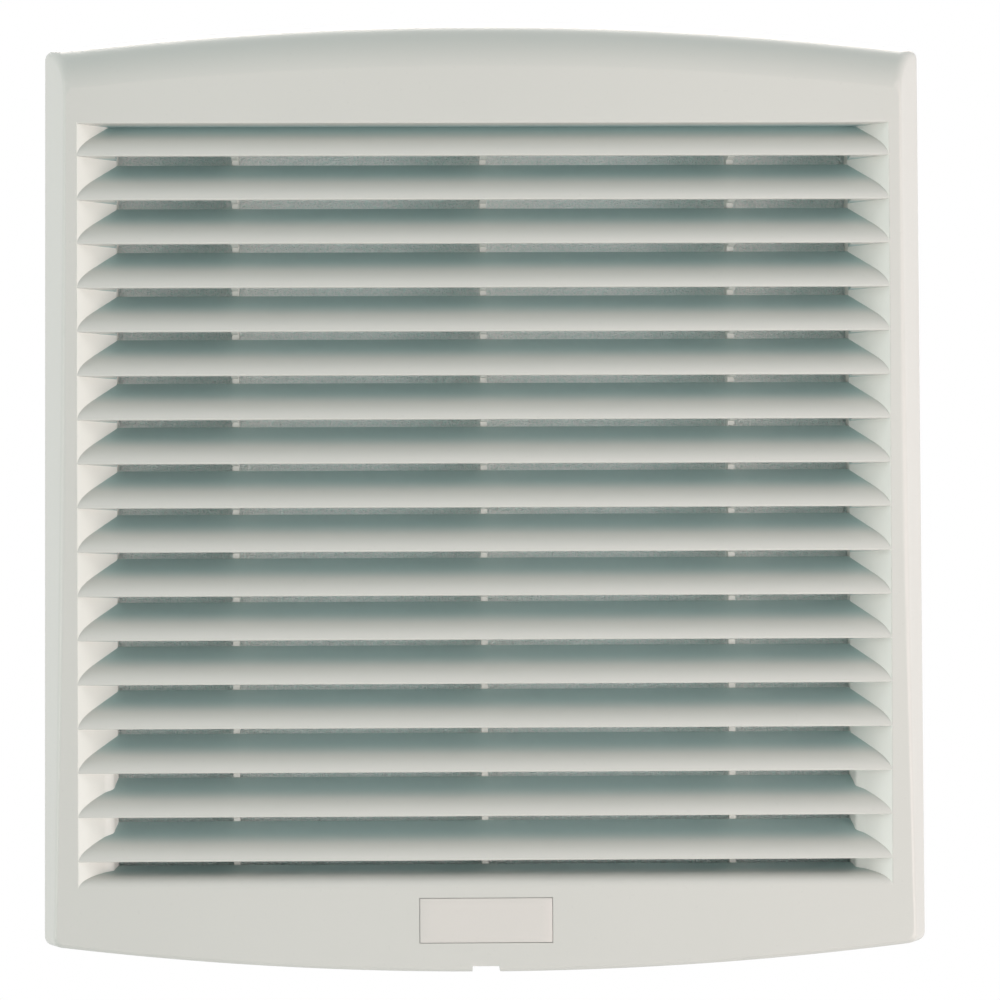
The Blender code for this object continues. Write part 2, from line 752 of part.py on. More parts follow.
def cut_pawl_seats(base, grey):
    """Windows in the collar for the pawls, with ears on its inner side that hold their pins."""
    out, deep = pawl_axis()
    half = PAWL_WIDTH / 2 + GAP
    windows = []
    ears = []
    bores = []
    for side, z in pawl_places():
        xs = sorted((side * (TRAY_HALF - 1 * mm), side * (COLLAR_HALF + 1 * mm)))
        windows.append(box_rings((xs[0], PANEL_GRIP - 1 * mm, z - half),
                                 (xs[1], deep + PAWL_KNUCKLE + GAP, z + half)))
        xs = sorted((side * (out - PAWL_KNUCKLE - 0.5 * mm), side * (COLLAR_HALF - COLLAR_WALL / 2)))
        for low in (z - half - EAR_WALL, z + half):
            ears.append(box_rings((xs[0], deep - PAWL_KNUCKLE - 0.5 * mm, low),
                                  (xs[1], FLOOR_FRONT + FLOOR / 2, low + EAR_WALL)))
        bores.append(along_z(circle(PAWL_PIN + GAP, 12, side * out, deep),
                             z - half - EAR_WALL - 1 * mm, z + half + EAR_WALL + 1 * mm))
    join(base, loft_group("pawl_ears", ears, grey))
    cut(base, loft_group("pawl_windows", windows, grey))
    cut(base, loft_group("pawl_bores", bores, grey))


def build_pawl(name, side, z, nylon):
    """A retaining pawl on two stub pins: it swings inwards as its ramp passes the cut-out's edge."""
    out, deep = pawl_axis()
    tip = CUTOUT / 2 + PAWL_CATCH - out
    catch = PANEL_GRIP - deep
    half = PAWL_WIDTH / 2
    knuckle = [(x, y) for x, y in circle(PAWL_KNUCKLE, 12)]
    arm = [
        (PAWL_KNUCKLE * 0.9, -0.4 * PAWL_KNUCKLE),
        (-PAWL_KNUCKLE * 0.1, -0.4 * PAWL_KNUCKLE),
        (tip - PAWL_ARM + 1 * mm, catch + 3 * mm),
        (tip - PAWL_CATCH, catch),
        (tip, catch),
        (tip, catch + 2.5 * mm),
    ]
    pawl = loft(name, along_z([(side * x, y) for x, y in arm], -half, half), nylon)
    eye = loft(name + "_knuckle", along_z(knuckle, -half, half), nylon)
    reach = half + GAP + EAR_WALL - 0.3 * mm
    pin = loft(name + "_pin", along_z(circle(PAWL_PIN, 10), -reach, reach), nylon)
    relief = [
        (PAWL_KNUCKLE + 0.3 * mm, catch / 2),
        (0.25 * tip, catch / 2),
        (tip - PAWL_ARM + 2.2 * mm, catch + 3.5 * mm),
        (tip + 1 * mm, catch + 5 * mm),
        (tip + 1 * mm, catch / 2),
    ]
    inner = half - PAWL_WALL
    pocket = loft(name + "_pocket", along_z([(side * x, y) for x, y in relief], -inner, inner), nylon)
    for tool in (eye, pin, pocket):
        tool.location = (side * out, deep, z)
    pawl.location = (side * out, deep, z)
    join(pawl, eye)
    join(pawl, pin)
    cut(pawl, pocket)
    return pawl


def build_gasket(foam):
    inner = CUTOUT / 2 + 2 * GAP
    outer = inner + GASKET_WIDTH
    gasket = loft("panel_gasket", along_y(rounded_square(outer, COLLAR_RADIUS + GASKET_WIDTH),
                                          -GASKET_THICKNESS, 0.0), foam)
    return cut(gasket, loft("gasket_hole", along_y(rounded_square(inner, COLLAR_RADIUS),
                                                   -2 * GASKET_THICKNESS, GASKET_THICKNESS), foam))


def build_mat(fleece):
    half = TRAY_HALF - MAT_PLAY
    return loft("filter_mat", along_y(rounded_square(half, COLLAR_RADIUS - COLLAR_WALL), MAT_FRONT, MAT_REAR), fleece)


def build_grid(grey):
    """The flat lattice that keeps the mat away from the fan."""
    half = TRAY_HALF - GAP
    grid = loft("mat_support_grid", along_y(rounded_square(half, COLLAR_RADIUS - COLLAR_WALL),
                                            GRID_FRONT, GRID_REAR), grey)
    open_half = half - GRID_RIM
    step = (2 * open_half + GRID_BAR) / GRID_CELLS
    cells = []
    for i in range(GRID_CELLS):
        for k in range(GRID_CELLS):
            x = -open_half + i * step
            z = -open_half + k * step
            cells.append(box_rings((x, GRID_FRONT - 1 * mm, z),
                                   (x + step - GRID_BAR, GRID_REAR + 1 * mm, z + step - GRID_BAR)))
    cut(grid, loft_group("grid_cells", cells, grey))
    notches = []
    for side, z in pawl_places():
        xs = sorted((side * (half - PAWL_NOTCH), side * (half + 1 * mm)))
        reach = PAWL_WIDTH / 2 + 2 * GAP
        notches.append(box_rings((xs[0], GRID_FRONT - 1 * mm, z - reach), (xs[1], GRID_REAR + 1 * mm, z + reach)))
    return cut(grid, loft_group("pawl_notches", notches, grey))


# Fan

def flat_sided(radius, half, steps=14):
    """A circle of (x, z) points with its left and right sides cut flat."""
    reach = math.acos(half / radius)
    points = []
    for start in (reach, math.pi + reach):
        for i in range(steps + 1):
            angle = start + (math.pi - 2 * reach) * i / steps
            points.append((radius * math.cos(angle), radius * math.sin(angle)))
    return points


def motor_places():
    """Depths of the motor's parts, worked from the plate at the fan's outlet side."""
    plate_rear = FAN_REAR - MOTOR_PLATE_SET_BACK
    plate_front = plate_rear - MOTOR_PLATE
    cup_rear = plate_front - CUP_PLAY
    cup_front = cup_rear - CUP_LENGTH
    middle = (cup_front + CUP_WALL + cup_rear) / 2
    return plate_rear, plate_front, cup_rear, cup_front, middle


def build_housing(cast):
    """One casting: the duct with its inlet bell, two flat-sided flanges, struts and motor plate."""
    plate_rear, plate_front, cup_rear, cup_front, middle = motor_places()
    shape = flat_sided(FAN_RADIUS, FAN_HALF)
    housing = loft("fan_housing", along_y(shape, FAN_FRONT, FAN_FRONT + FAN_FLANGE), cast)
    join(housing, loft("rear_flange", along_y(shape, FAN_REAR - FAN_FLANGE, FAN_REAR), cast))
    outer = DUCT_RADIUS + DUCT_WALL
    join(housing, loft("duct_wall", along_y(circle(outer, 40), FAN_FRONT + FAN_FLANGE / 2,
                                            FAN_REAR - FAN_FLANGE / 2), cast))
    bell = []
    for i in range(5):
        angle = math.pi / 2 * i / 4
        bell.append((DUCT_RADIUS + BELL_FLARE * (1 - math.sin(angle)),
                     FAN_FRONT + BELL_LENGTH * (1 - math.cos(angle))))
    profile = [(0.0, FAN_FRONT - 1 * mm), (DUCT_RADIUS + BELL_FLARE, FAN_FRONT - 1 * mm)] + bell
    profile += [(DUCT_RADIUS, FAN_REAR + 1 * mm), (0.0, FAN_REAR + 1 * mm)]
    cut(housing, turned("air_way", profile, 40, cast))
    bars = []
    for i in range(STRUTS):
        angle = math.pi / 4 + 2 * math.pi * i / STRUTS
        along = (math.cos(angle), math.sin(angle))
        across = (-along[1] * STRUT_WIDTH / 2, along[0] * STRUT_WIDTH / 2)
        low = MOTOR_PLATE_RADIUS - 3 * mm
        high = DUCT_RADIUS + DUCT_WALL / 2
        outline = [
            (low * along[0] - across[0], low * along[1] - across[1]),
            (high * along[0] - across[0], high * along[1] - across[1]),
            (high * along[0] + across[0], high * along[1] + across[1]),
            (low * along[0] + across[0], low * along[1] + across[1]),
        ]
        bars.append(along_y(outline, plate_rear - STRUT_HEIGHT, plate_rear - 0.4 * mm))
    join(housing, loft_group("struts", bars, cast))
    bore = BEARING_SEAT + GAP
    tube = bore + BEARING_TUBE_WALL
    tube_front = middle - STATOR_LENGTH / 2
    motor = [
        (bore, tube_front), (tube, tube_front), (tube, plate_front),
        (MOTOR_PLATE_RADIUS, plate_front), (MOTOR_PLATE_RADIUS, plate_rear), (bore, plate_rear),
    ]
    join(housing, turned("motor_plate", motor, 32, cast))
    holes = []
    for x, z in fan_screws():
        holes.append(along_y(circle(SCREW_RADIUS + SCREW_PLAY, 16, x, z), FAN_FRONT - 1 * mm, FAN_REAR + 1 * mm))
    cut(housing, loft_group("flange_holes", holes, cast))
    return housing


def build_motor(steel, copper, iron):
    plate_rear, plate_front, cup_rear, cup_front, middle = motor_places()
    bore = BEARING_SEAT + GAP + BEARING_TUBE_WALL + GAP
    low = middle - STATOR_LENGTH / 2 + 1.5 * mm
    high = middle + STATOR_LENGTH / 2
    yoke = bore + YOKE
    # Toothed core: each pole is a neck with a wider shoe
    outline = []
    per = 2 * math.pi / STATOR_POLES
    for i in range(STATOR_POLES):
        middle_angle = i * per
        for radius, share in ((yoke, -0.5), (yoke, -0.22), (STATOR_RADIUS - 3 * mm, -0.12),
                              (STATOR_RADIUS - 2 * mm, -0.4), (STATOR_RADIUS, -0.4), (STATOR_RADIUS, -0.13),
                              (STATOR_RADIUS, 0.13), (STATOR_RADIUS, 0.4), (STATOR_RADIUS - 2 * mm, 0.4),
                              (STATOR_RADIUS - 3 * mm, 0.12), (yoke, 0.22)):
            angle = middle_angle + share * per
            outline.append((radius * math.cos(angle), radius * math.sin(angle)))
    core = loft("stator_core", along_y(outline, low, high), iron)
    cut(core, loft("core_bore", along_y(circle(bore, 24), low - 1 * mm, high + 1 * mm), iron))
    # End turns in front and behind, joined by the copper that lies in the slots
    inner = yoke + GAP
    outer = STATOR_RADIUS - 4 * mm
    turns = END_TURNS
    front = low - GAP
    rear = high + GAP
    front_ring = [(inner, front - turns), (outer, front - turns), (outer, front), (inner, front)]
    winding = turned("stator_winding", front_ring, 24, copper)
    rear_ring = turned("rear_turns", [(inner, rear), (outer, rear), (outer, rear + turns), (inner, rear + turns)],
                       24, copper)
    bars = []
    for i in range(STATOR_POLES):
        angle = (i + 0.5) * per
        x, z = ((inner + outer) / 2 * math.cos(angle), (inner + outer) / 2 * math.sin(angle))
        bars.append(along_y(circle((outer - inner) / 2 - 0.2 * mm, 6, x, z), front - turns / 2, rear + turns / 2))
    join(winding, loft_group("slot_copper", bars, copper))
    join(winding, rear_ring)
    # Bearings, shaft and the ring that keeps the shaft in
    shaft_fit = SHAFT_RADIUS + GAP
    pieces = [core, winding]
    for name, start in (("bearing_front", middle - STATOR_LENGTH / 2 + 2 * mm),
                        ("bearing_rear", plate_rear - BEARING_WIDTH - 2 * mm)):
        groove = 0.5 * mm
        seat = BEARING_SEAT
        end = start + BEARING_WIDTH
        inner_ring = shaft_fit + 0.3 * (seat - shaft_fit)
        outer_ring = seat - 0.26 * (seat - shaft_fit)
        profile = [
            (shaft_fit, start), (inner_ring, start), (inner_ring, start + groove),
            (outer_ring, start + groove), (outer_ring, start), (seat, start),
            (seat, end), (shaft_fit, end),
        ]
        pieces.append(turned(name, profile, 16, steel))
    shaft_end = plate_rear - 0.5 * mm
    groove_at = shaft_end - 1.6 * mm
    neck = SHAFT_RADIUS - 0.6 * mm
    shaft = [
        (0.0, cup_front), (SHAFT_RADIUS, cup_front), (SHAFT_RADIUS, groove_at), (neck, groove_at),
        (neck, groove_at + 0.9 * mm), (SHAFT_RADIUS, groove_at + 0.9 * mm),
        (SHAFT_RADIUS, shaft_end), (0.0, shaft_end),
    ]
    pieces.append(turned("motor_shaft", shaft, 16, steel))
    ring_low = groove_at + 0.15 * mm
    ring = [(neck + 0.15 * mm, ring_low), (SHAFT_RADIUS + 1.5 * mm, ring_low),
            (SHAFT_RADIUS + 1.5 * mm, ring_low + 0.6 * mm), (neck + 0.15 * mm, ring_low + 0.6 * mm)]
    circlip = turned("shaft_circlip", ring, 16, steel)
    jaw = 0.8 * neck
    cut(circlip, box("circlip_gap", (-jaw, ring_low - 1 * mm, 0),
                     (jaw, ring_low + 2 * mm, 2 * SCREW_HEAD_RADIUS), steel))
    pieces.append(circlip)
    return pieces


def cup_radius():
    """Inner radius of the rotor cup, round the stator, the air gap and the rotor ring."""
    return STATOR_RADIUS + AIR_GAP + ROTOR_RING + GAP


def build_rotor(steel, iron, black):
    plate_rear, plate_front, cup_rear, cup_front, middle = motor_places()
    inner = cup_radius()
    outer = inner + CUP_WALL
    hub = SHAFT_RADIUS + GAP
    cup = turned("rotor_cup", [
        (hub, cup_front), (outer - 2 * mm, cup_front), (outer - 0.6 * mm, cup_front + 0.6 * mm),
        (outer, cup_front + 2 * mm), (outer, cup_rear), (inner, cup_rear),
        (inner, cup_front + CUP_WALL), (hub + 2.5 * mm, cup_front + CUP_WALL),
        (hub + 2.5 * mm, cup_front + 5 * mm), (hub, cup_front + 5 * mm),
    ], 30, black)
    ring = turned("rotor_ring", [
        (STATOR_RADIUS + AIR_GAP, middle - STATOR_LENGTH / 2), (inner - GAP, middle - STATOR_LENGTH / 2),
        (inner - GAP, middle + STATOR_LENGTH / 2), (STATOR_RADIUS + AIR_GAP, middle + STATOR_LENGTH / 2),
    ], 24, iron)
    impeller = build_impeller(outer + GAP, middle, black)
    return [cup, ring, impeller]


def blade_surface(u, v, root, tip, middle):
    """A point of the blade's middle sheet and the square direction there: u along the chord, v outwards."""
    radius = root + v * (tip - root)
    chord = BLADE_ROOT_CHORD + v * (BLADE_TIP_CHORD - BLADE_ROOT_CHORD)
    pitch = BLADE_ROOT_PITCH + v * (BLADE_TIP_PITCH - BLADE_ROOT_PITCH)
    along = (u - 0.5) * chord
    bow = BLADE_CAMBER * chord * (1 - (2 * u - 1) ** 2)
    return radius, along, bow, pitch


def blade_rings(index, root, tip, middle):
    """One blade as rings from root to tip: a cambered sheet that twists flat and sweeps forward."""
    chord_steps = 6
    span_steps = 5
    rings = []
    for j in range(span_steps + 1):
        v = j / span_steps
        ring = []
        sides = [(i / chord_steps, 1) for i in range(chord_steps + 1)]
        sides += [(i / chord_steps, -1) for i in reversed(range(chord_steps + 1))]
        for u, face in sides:
            radius, along, bow, pitch = blade_surface(u, v, root, tip, middle)
            square = bow + face * BLADE_SHEET / 2
            tangent = along * math.cos(pitch) - square * math.sin(pitch)
            axial = along * math.sin(pitch) + square * math.cos(pitch)
            angle = 2 * math.pi * index / BLADES + BLADE_SWEEP * v + tangent / radius
            ring.append((radius * math.cos(angle), middle + axial, radius * math.sin(angle)))
        rings.append(ring)
    return rings


def build_impeller(inner, middle, black):
    outer = inner + SLEEVE_WALL
    half = SLEEVE_LENGTH / 2
    impeller = turned("impeller", [(inner, middle - half), (outer, middle - half),
                                   (outer, middle + half), (inner, middle + half)], 30, black)
    tip = DUCT_RADIUS - BLADE_TIP_GAP
    blades = [blade_rings(i, outer - SLEEVE_WALL / 2, tip, middle) for i in range(BLADES)]
    return join(impeller, loft_group("blades", blades, black))


def build_guard(wire_steel):
    """Welded wire guard: round rings on four arms that step down to the screw eyes."""
    eye_front = FAN_REAR + GAP
    plane = eye_front + GUARD_STAND
    sides = 5
    outer = DUCT_RADIUS - 2 * mm
    radii = [outer - i * GUARD_PITCH for i in range(GUARD_RINGS)]
    points = []
    faces = []
    for index, radius in enumerate(radii):
        first = len(points)
        segments = 28 - 4 * index
        for i in range(segments):
            angle = 2 * math.pi * i / segments
            for k in range(sides):
                turn = 2 * math.pi * k / sides
                reach = radius + WIRE_RADIUS * math.cos(turn)
                depth = plane + WIRE_RADIUS * math.sin(turn)
                points.append((reach * math.cos(angle), depth, reach * math.sin(angle)))
        for i in range(segments):
            for k in range(sides):
                a = first + i * sides + k
                b = first + i * sides + (k + 1) % sides
                c = first + (i + 1) % segments * sides + (k + 1) % sides
                d = first + (i + 1) % segments * sides + k
                faces.append((a, b, c, d))
    guard = solid("rear_guard", points, faces, wire_steel)
    arms = []
    back = plane + 1.5 * WIRE_RADIUS
    for x, z in fan_screws():
        length = math.hypot(x, z)
        ux, uz = x / length, z / length
        path = [(radii[-1] - 2 * WIRE_RADIUS, back), (outer + 1 * mm, back), (outer + 3.5 * mm, back - 0.7 * mm),
                (length - GUARD_EYE_RADIUS - 0.5 * mm, eye_front + 1.2 * mm),
                (length - GUARD_EYE_RADIUS + 2 * mm, eye_front + GUARD_EYE / 2)]
        arms.append(tube_rings([(r * ux, y, r * uz) for r, y in path], WIRE_RADIUS, sides))
    join(guard, loft_group("guard_arms", arms, wire_steel))
    eyes = [along_y(circle(GUARD_EYE_RADIUS, 16, x, z), eye_front, eye_front + GUARD_EYE) for x, z in fan_screws()]
    join(guard, loft_group("guard_eyes", eyes, wire_steel))
    holes = [along_y(circle(SCREW_RADIUS + SCREW_PLAY, 16, x, z), eye_front - 1 * mm, eye_front + GUARD_EYE + 1 * mm)
             for x, z in fan_screws()]
    cut(guard, loft_group("guard_holes", holes, wire_steel))
    return guard


def build_screw(name, x, z, seat, length, radius, head_radius, head, steel):
    """A pan-head screw that enters along -Y from its seat, with a cross-shaped drive."""
    profile = [
        (0.0, seat + head), (0.7 * head_radius, seat + 0.95 * head), (head_radius, seat + 0.4 * head),
        (head_radius, seat), (radius, seat), (radius, seat - length + radius / 2),
        (0.5 * radius, seat - length), (0.0, seat - length),
    ]
    screw = turned(name, profile, 8, steel, x, z)
    wide = 0.55 * head_radius
    thin = 0.16 * head_radius
    deep = seat + 0.45 * head
    far = seat + head + 1 * mm
    cross = [(thin, thin), (wide, thin), (wide, -thin), (thin, -thin), (thin, -wide), (-thin, -wide),
             (-thin, -thin), (-wide, -thin), (-wide, thin), (-thin, thin), (-thin, wide), (thin, wide)]
    return cut(screw, loft(name + "_drive", along_y([(x + a, z + b) for a, b in cross], deep, far), steel))


def terminal_corner():
    """Low x, low z of the terminal block, in the floor's lower right corner."""
    wide = TERMINALS * TERMINAL_PITCH + 2 * TERMINAL_WALL
    return COLLAR_HALF - TERMINAL_INSET - wide, -COLLAR_HALF + TERMINAL_INSET


def terminal_centres():
    x, z = terminal_corner()
    return [(x + TERMINAL_WALL + (i + 0.5) * TERMINAL_PITCH, z + TERMINAL_DEPTH / 2) for i in range(TERMINALS)]


def build_terminals(nylon, steel):
    x, z = terminal_corner()
    wide = TERMINALS * TERMINAL_PITCH + 2 * TERMINAL_WALL
    low = FLOOR_REAR + GAP
    high = low + TERMINAL_HEIGHT
    block = box("terminal_block", (x, low, z), (x + wide, high, z + TERMINAL_DEPTH), nylon)
    wells = []
    entries = []
    for cx, cz in terminal_centres():
        wells.append(along_y(circle(TERMINAL_SCREW_RADIUS + 2 * GAP, 12, cx, cz),
                             high - TERMINAL_WELL, high + 1 * mm))
        half = TERMINAL_PITCH / 2 - 0.6 * TERMINAL_WALL
        entry = low + WIRE_ENTRY / 2
        entries.append(box_rings((cx - half, entry, cz + TERMINAL_DEPTH / 4),
                                 (cx + half, entry + WIRE_ENTRY, z + TERMINAL_DEPTH + 1 * mm)))
        entries.append(box_rings((cx - half, entry, z - 1 * mm),
                                 (cx + half, entry + WIRE_ENTRY, cz - TERMINAL_DEPTH / 4)))
    cut(block, loft_group("terminal_wells", wells, nylon))
    cut(block, loft_group("wire_entries", entries, nylon))
    grooves = []
    for cx, cz in terminal_centres()[:-1]:
        edge = cx + TERMINAL_PITCH / 2
        grooves.append(box_rings((edge - TERMINAL_WALL / 4, high - TERMINAL_WELL / 2, z - 1 * mm),
                                 (edge + TERMINAL_WALL / 4, high + 1 * mm, z + TERMINAL_DEPTH + 1 * mm)))
    cut(block, loft_group("terminal_grooves", grooves, nylon))
    pieces = [block]
    for i, (cx, cz) in enumerate(terminal_centres()):
        bottom = high - TERMINAL_WELL + GAP
        profile = [(0.0, bottom + 3.2 * mm), (TERMINAL_SCREW_RADIUS, bottom + 3.2 * mm),
                   (TERMINAL_SCREW_RADIUS, bottom), (0.0, bottom)]
        screw = turned("terminal_screw_%d" % (i + 1), profile, 12, steel, cx, cz)
        half = 0.3 * mm
        slot = box("terminal_slot_%d" % (i + 1), (cx - 2 * TERMINAL_SCREW_RADIUS, bottom + 2.2 * mm, cz - half),
                   (cx + 2 * TERMINAL_SCREW_RADIUS, bottom + 4 * mm, cz + half), steel)
        pieces.append(cut(screw, slot))
    return pieces


def main():
    for thing in list(bpy.data.objects):
        bpy.data.objects.remove(thing, do_unlink=True)
    white = finish("light_grey_plastic", (0.61, 0.60, 0.55), 0.45)
    grey = finish("frame_plastic", (0.55, 0.55, 0.52), 0.5)
    nylon = finish("black_nylon", (0.03, 0.03, 0.03), 0.5)
    foam = finish("foam_rubber", (0.02, 0.02, 0.02), 0.9)
    fleece = finish("filter_fleece", (0.42, 0.47, 0.46), 0.95)
    cast = finish("painted_casting", (0.03, 0.03, 0.03), 0.5, 0.2)
    black = finish("black_sheet_steel", (0.04, 0.04, 0.04), 0.45, 0.3)
    steel = finish("zinc_steel", (0.7, 0.7, 0.7), 0.3, 1.0)
    iron = finish("core_iron", (0.3, 0.29, 0.28), 0.5, 1.0)
    copper = finish("copper_wire", (0.7, 0.33, 0.18), 0.35, 1.0)
    chrome = finish("plated_wire", (0.65, 0.65, 0.66), 0.25, 1.0)

    build_cover(white)
    build_plate(white)
    build_base(grey)
    build_gasket(foam)
    build_mat(fleece)
    build_grid(grey)
    names = ("pawl_left_upper", "pawl_left_lower", "pawl_right_upper", "pawl_right_lower")
    for name, (side, z) in zip(names, pawl_places()):
        build_pawl(name, side, z, nylon)
    build_housing(cast)
    build_motor(steel, copper, iron)
    build_rotor(black, iron, black)
    build_guard(chrome)
    for i, (x, z) in enumerate(fan_screws()):
        build_screw("fan_screw_%d" % (i + 1), x, z, FAN_FRONT + FAN_FLANGE + GAP, FAN_SCREW_LENGTH,
                    SCREW_RADIUS, SCREW_HEAD_RADIUS, SCREW_HEAD, steel)
        build_screw("guard_screw_%d" % (i + 1), x, z, FAN_REAR + GAP + GUARD_EYE + GAP, GUARD_SCREW_LENGTH,
                    SCREW_RADIUS, SCREW_HEAD_RADIUS, SCREW_HEAD, steel)
    build_terminals(nylon, steel)


main()
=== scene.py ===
# %% [markdown]
# # A louvred cabinet filter fan
#
# This lesson dresses the engineering model of a filter fan for a control cabinet. The model gives
# every piece its place and its motion. Here the pieces that show get their fine surface: the moulded
# cover with its seventeen slats, the fleece behind them, and the fan with its wire guard at the back.
# Surfaces are worked out as whole grids of points, because a moulded or turned piece is nearly always
# a formula of two parameters, and a formula can be read, checked and changed.

import math
from collections import namedtuple

import bmesh
import bpy
import numpy as np
from mathutils import Matrix


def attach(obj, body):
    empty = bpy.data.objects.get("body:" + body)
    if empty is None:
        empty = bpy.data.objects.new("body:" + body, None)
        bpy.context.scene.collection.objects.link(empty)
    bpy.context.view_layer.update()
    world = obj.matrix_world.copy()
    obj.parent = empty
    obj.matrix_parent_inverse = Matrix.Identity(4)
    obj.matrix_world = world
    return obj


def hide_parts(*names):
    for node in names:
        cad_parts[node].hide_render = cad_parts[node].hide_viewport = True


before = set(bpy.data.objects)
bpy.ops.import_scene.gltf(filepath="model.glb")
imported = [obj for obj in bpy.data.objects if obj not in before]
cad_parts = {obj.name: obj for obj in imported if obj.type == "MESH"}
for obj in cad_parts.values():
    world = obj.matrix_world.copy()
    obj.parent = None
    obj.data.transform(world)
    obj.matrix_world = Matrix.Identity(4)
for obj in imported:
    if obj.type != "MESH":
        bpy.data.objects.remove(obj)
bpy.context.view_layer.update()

# %% [markdown]
# ## Units and the camera
#
# Every size below is in millimetres, and one helper turns points into metres when a mesh is made. The
# camera comes first, since each finish is judged through it. A camera can be aimed with a constraint,
# but a product photograph is matched better with three small angles and a long lens: the picture was
# taken almost square on, 1.3 m away, a little below the middle of the cover.

# %% Place the camera
MM = 0.001
FRONT_PLANE = -6.3
CAMERA_DISTANCE = 1300.0
CAMERA_X = -24.4
CAMERA_Z = -67.8
CAMERA_PITCH = 0.051
CAMERA_YAW = -0.0223
CAMERA_ROLL = 0.0047
CAMERA_LENS = 165.5


def place_camera():
    """Turns the camera by yaw about Z, then pitch about X, then roll about its own line of sight."""
    yaw = Matrix.Rotation(CAMERA_YAW, 3, "Z")
    pitch = Matrix.Rotation(CAMERA_PITCH, 3, "X")
    roll = Matrix.Rotation(CAMERA_ROLL, 3, "Y")
    right, ahead, up = (yaw @ pitch @ roll).transposed()
    data = bpy.data.cameras.new("photo_camera")
    data.lens = CAMERA_LENS
    data.sensor_width = 36.0
    data.clip_start = 0.01
    camera = bpy.data.objects.new("photo_camera", data)
    bpy.context.scene.collection.objects.link(camera)
    matrix = Matrix((right, up, -ahead)).transposed().to_4x4()
    matrix.translation = (CAMERA_X * MM, (FRONT_PLANE - CAMERA_DISTANCE) * MM, CAMERA_Z * MM)
    camera.matrix_world = matrix
    bpy.context.scene.camera = camera
    return camera


print("camera at", [round(v, 4) for v in place_camera().matrix_world.translation])

# %% [markdown]
# ## Grids of points become meshes
#
# A piece is one or more grids. A grid has rows and columns of points, and it may close on itself:
# around its columns, as a tube does, and around its rows, as a ring does. Open ends are closed with
# caps. Building the corner numbers as arrays keeps this fast for a hundred thousand faces. Doubled
# points at seams and poles are merged, and then the faces are turned to point outwards.

# %% From grids to a mesh
Grid = namedtuple("Grid", "points around loop caps")


def grid(points, around=True, loop=False, caps=True):
    return Grid(np.asarray(points, float), around, loop, caps and not loop)


def grid_faces(shape, first):
    """Quads between each point, its right neighbour, and the two above them, wrapped where closed."""
    rows, columns = shape.points.shape[:2]
    r, c = np.meshgrid(np.arange(rows if shape.loop else rows - 1),
                       np.arange(columns if shape.around else columns - 1), indexing="ij")
    r_next = (r + 1) % rows
    c_next = (c + 1) % columns
    corners = (r * columns + c, r * columns + c_next, r_next * columns + c_next, r_next * columns + c)
    faces = (first + np.stack(corners, -1).reshape(-1, 4)).tolist()
    if shape.caps:
        last = first + (rows - 1) * columns
        faces.append(list(range(first, first + columns)))
        faces.append(list(range(last, last + columns)))
    return faces


def piece(name, grids, material, body, stands_for=(), sharp=35.0):
    """One object from grids in millimetres, smooth except where faces meet at more than the angle."""
    points = np.concatenate([g.points.reshape(-1, 3) for g in grids]) * MM
    faces = []
    first = 0
    for g in grids:
        faces += grid_faces(g, first)
        first += g.points.shape[0] * g.points.shape[1]
    mesh = bpy.data.meshes.new(name)
    mesh.from_pydata(points.tolist(), [], faces)
    work = bmesh.new()
    work.from_mesh(mesh)
    bmesh.ops.remove_doubles(work, verts=work.verts, dist=1e-6)
    bmesh.ops.dissolve_degenerate(work, edges=work.edges, dist=1e-7)
    bmesh.ops.recalc_face_normals(work, faces=work.faces)
    work.to_mesh(mesh)
    work.free()
    mesh.shade_smooth()
    mesh.set_sharp_from_angle(angle=math.radians(sharp))
    mesh.materials.append(material)
    thing = bpy.data.objects.new(name, mesh)
    bpy.context.scene.collection.objects.link(thing)
    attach(thing, body)
    if stands_for:
        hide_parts(*stands_for)
    print(name, len(mesh.polygons), "faces")
    return thing


def turned(profile, segments=96, x=0.0, z=0.0):
    """A profile of (radius, y) turned about a line along Y: x and z are radius times cosine and sine."""
    profile = np.asarray(profile, float)
    angle = np.arange(segments) * 2 * np.pi / segments
    radius = profile[:, :1]
    y = np.repeat(profile[:, 1:], segments, 1)
    points = np.stack([x + radius * np.cos(angle), y, z + radius * np.sin(angle)], -1)
    return grid(points, loop=True)


def tube(path, radius, sides=14):
    """A round wire: circles of the radius, each square to the path at its point."""
    path = np.asarray(path, float)
    along = np.gradient(path, axis=0)
    along /= np.linalg.norm(along, axis=1, keepdims=True)
    helper = np.where(np.abs(along[:, 2:]) < 0.9, [[0.0, 0.0, 1.0]], [[1.0, 0.0, 0.0]])
    side = np.cross(along, helper)
    side /= np.linalg.norm(side, axis=1, keepdims=True)
    up = np.cross(side, along)
    angle = (np.arange(sides) * 2 * np.pi / sides)[None, :, None]
    points = path[:, None] + radius * (np.cos(angle) * side[:, None] + np.sin(angle) * up[:, None])
    return grid(points)


def prism(outline, low, high, axis):
    """An outline of two coordinates, swept along the third axis from low to high."""
    outline = np.asarray(outline, float)
    rows = []
    for place in (low, high):
        rows.append(np.insert(outline, axis, place, axis=1))
    return grid(rows)


# %% [markdown]
# ## Small words for the shader trees
#
# A material is a small calculation, and a few one-line helpers make it readable: one adds a node and
# fills its sockets, others name the sums, mixes and noises that every finish here uses. All patterns
# read Object coordinates, so that they stay on the piece when it moves.

# %% Shader helpers
def add(tree, kind, settings=(), **sockets):
    """A new shader node with its settings and its named sockets, each a value or another output."""
    made = tree.nodes.new("ShaderNode" + kind)
    for name, value in dict(settings).items():
        setattr(made, name, value)
    for name, value in sockets.items():
        connect(tree, made.inputs[name.replace("_", " ")], value)
    return made


def connect(tree, socket, value):
    if isinstance(value, bpy.types.NodeSocket):
        tree.links.new(value, socket)
    else:
        socket.default_value = value


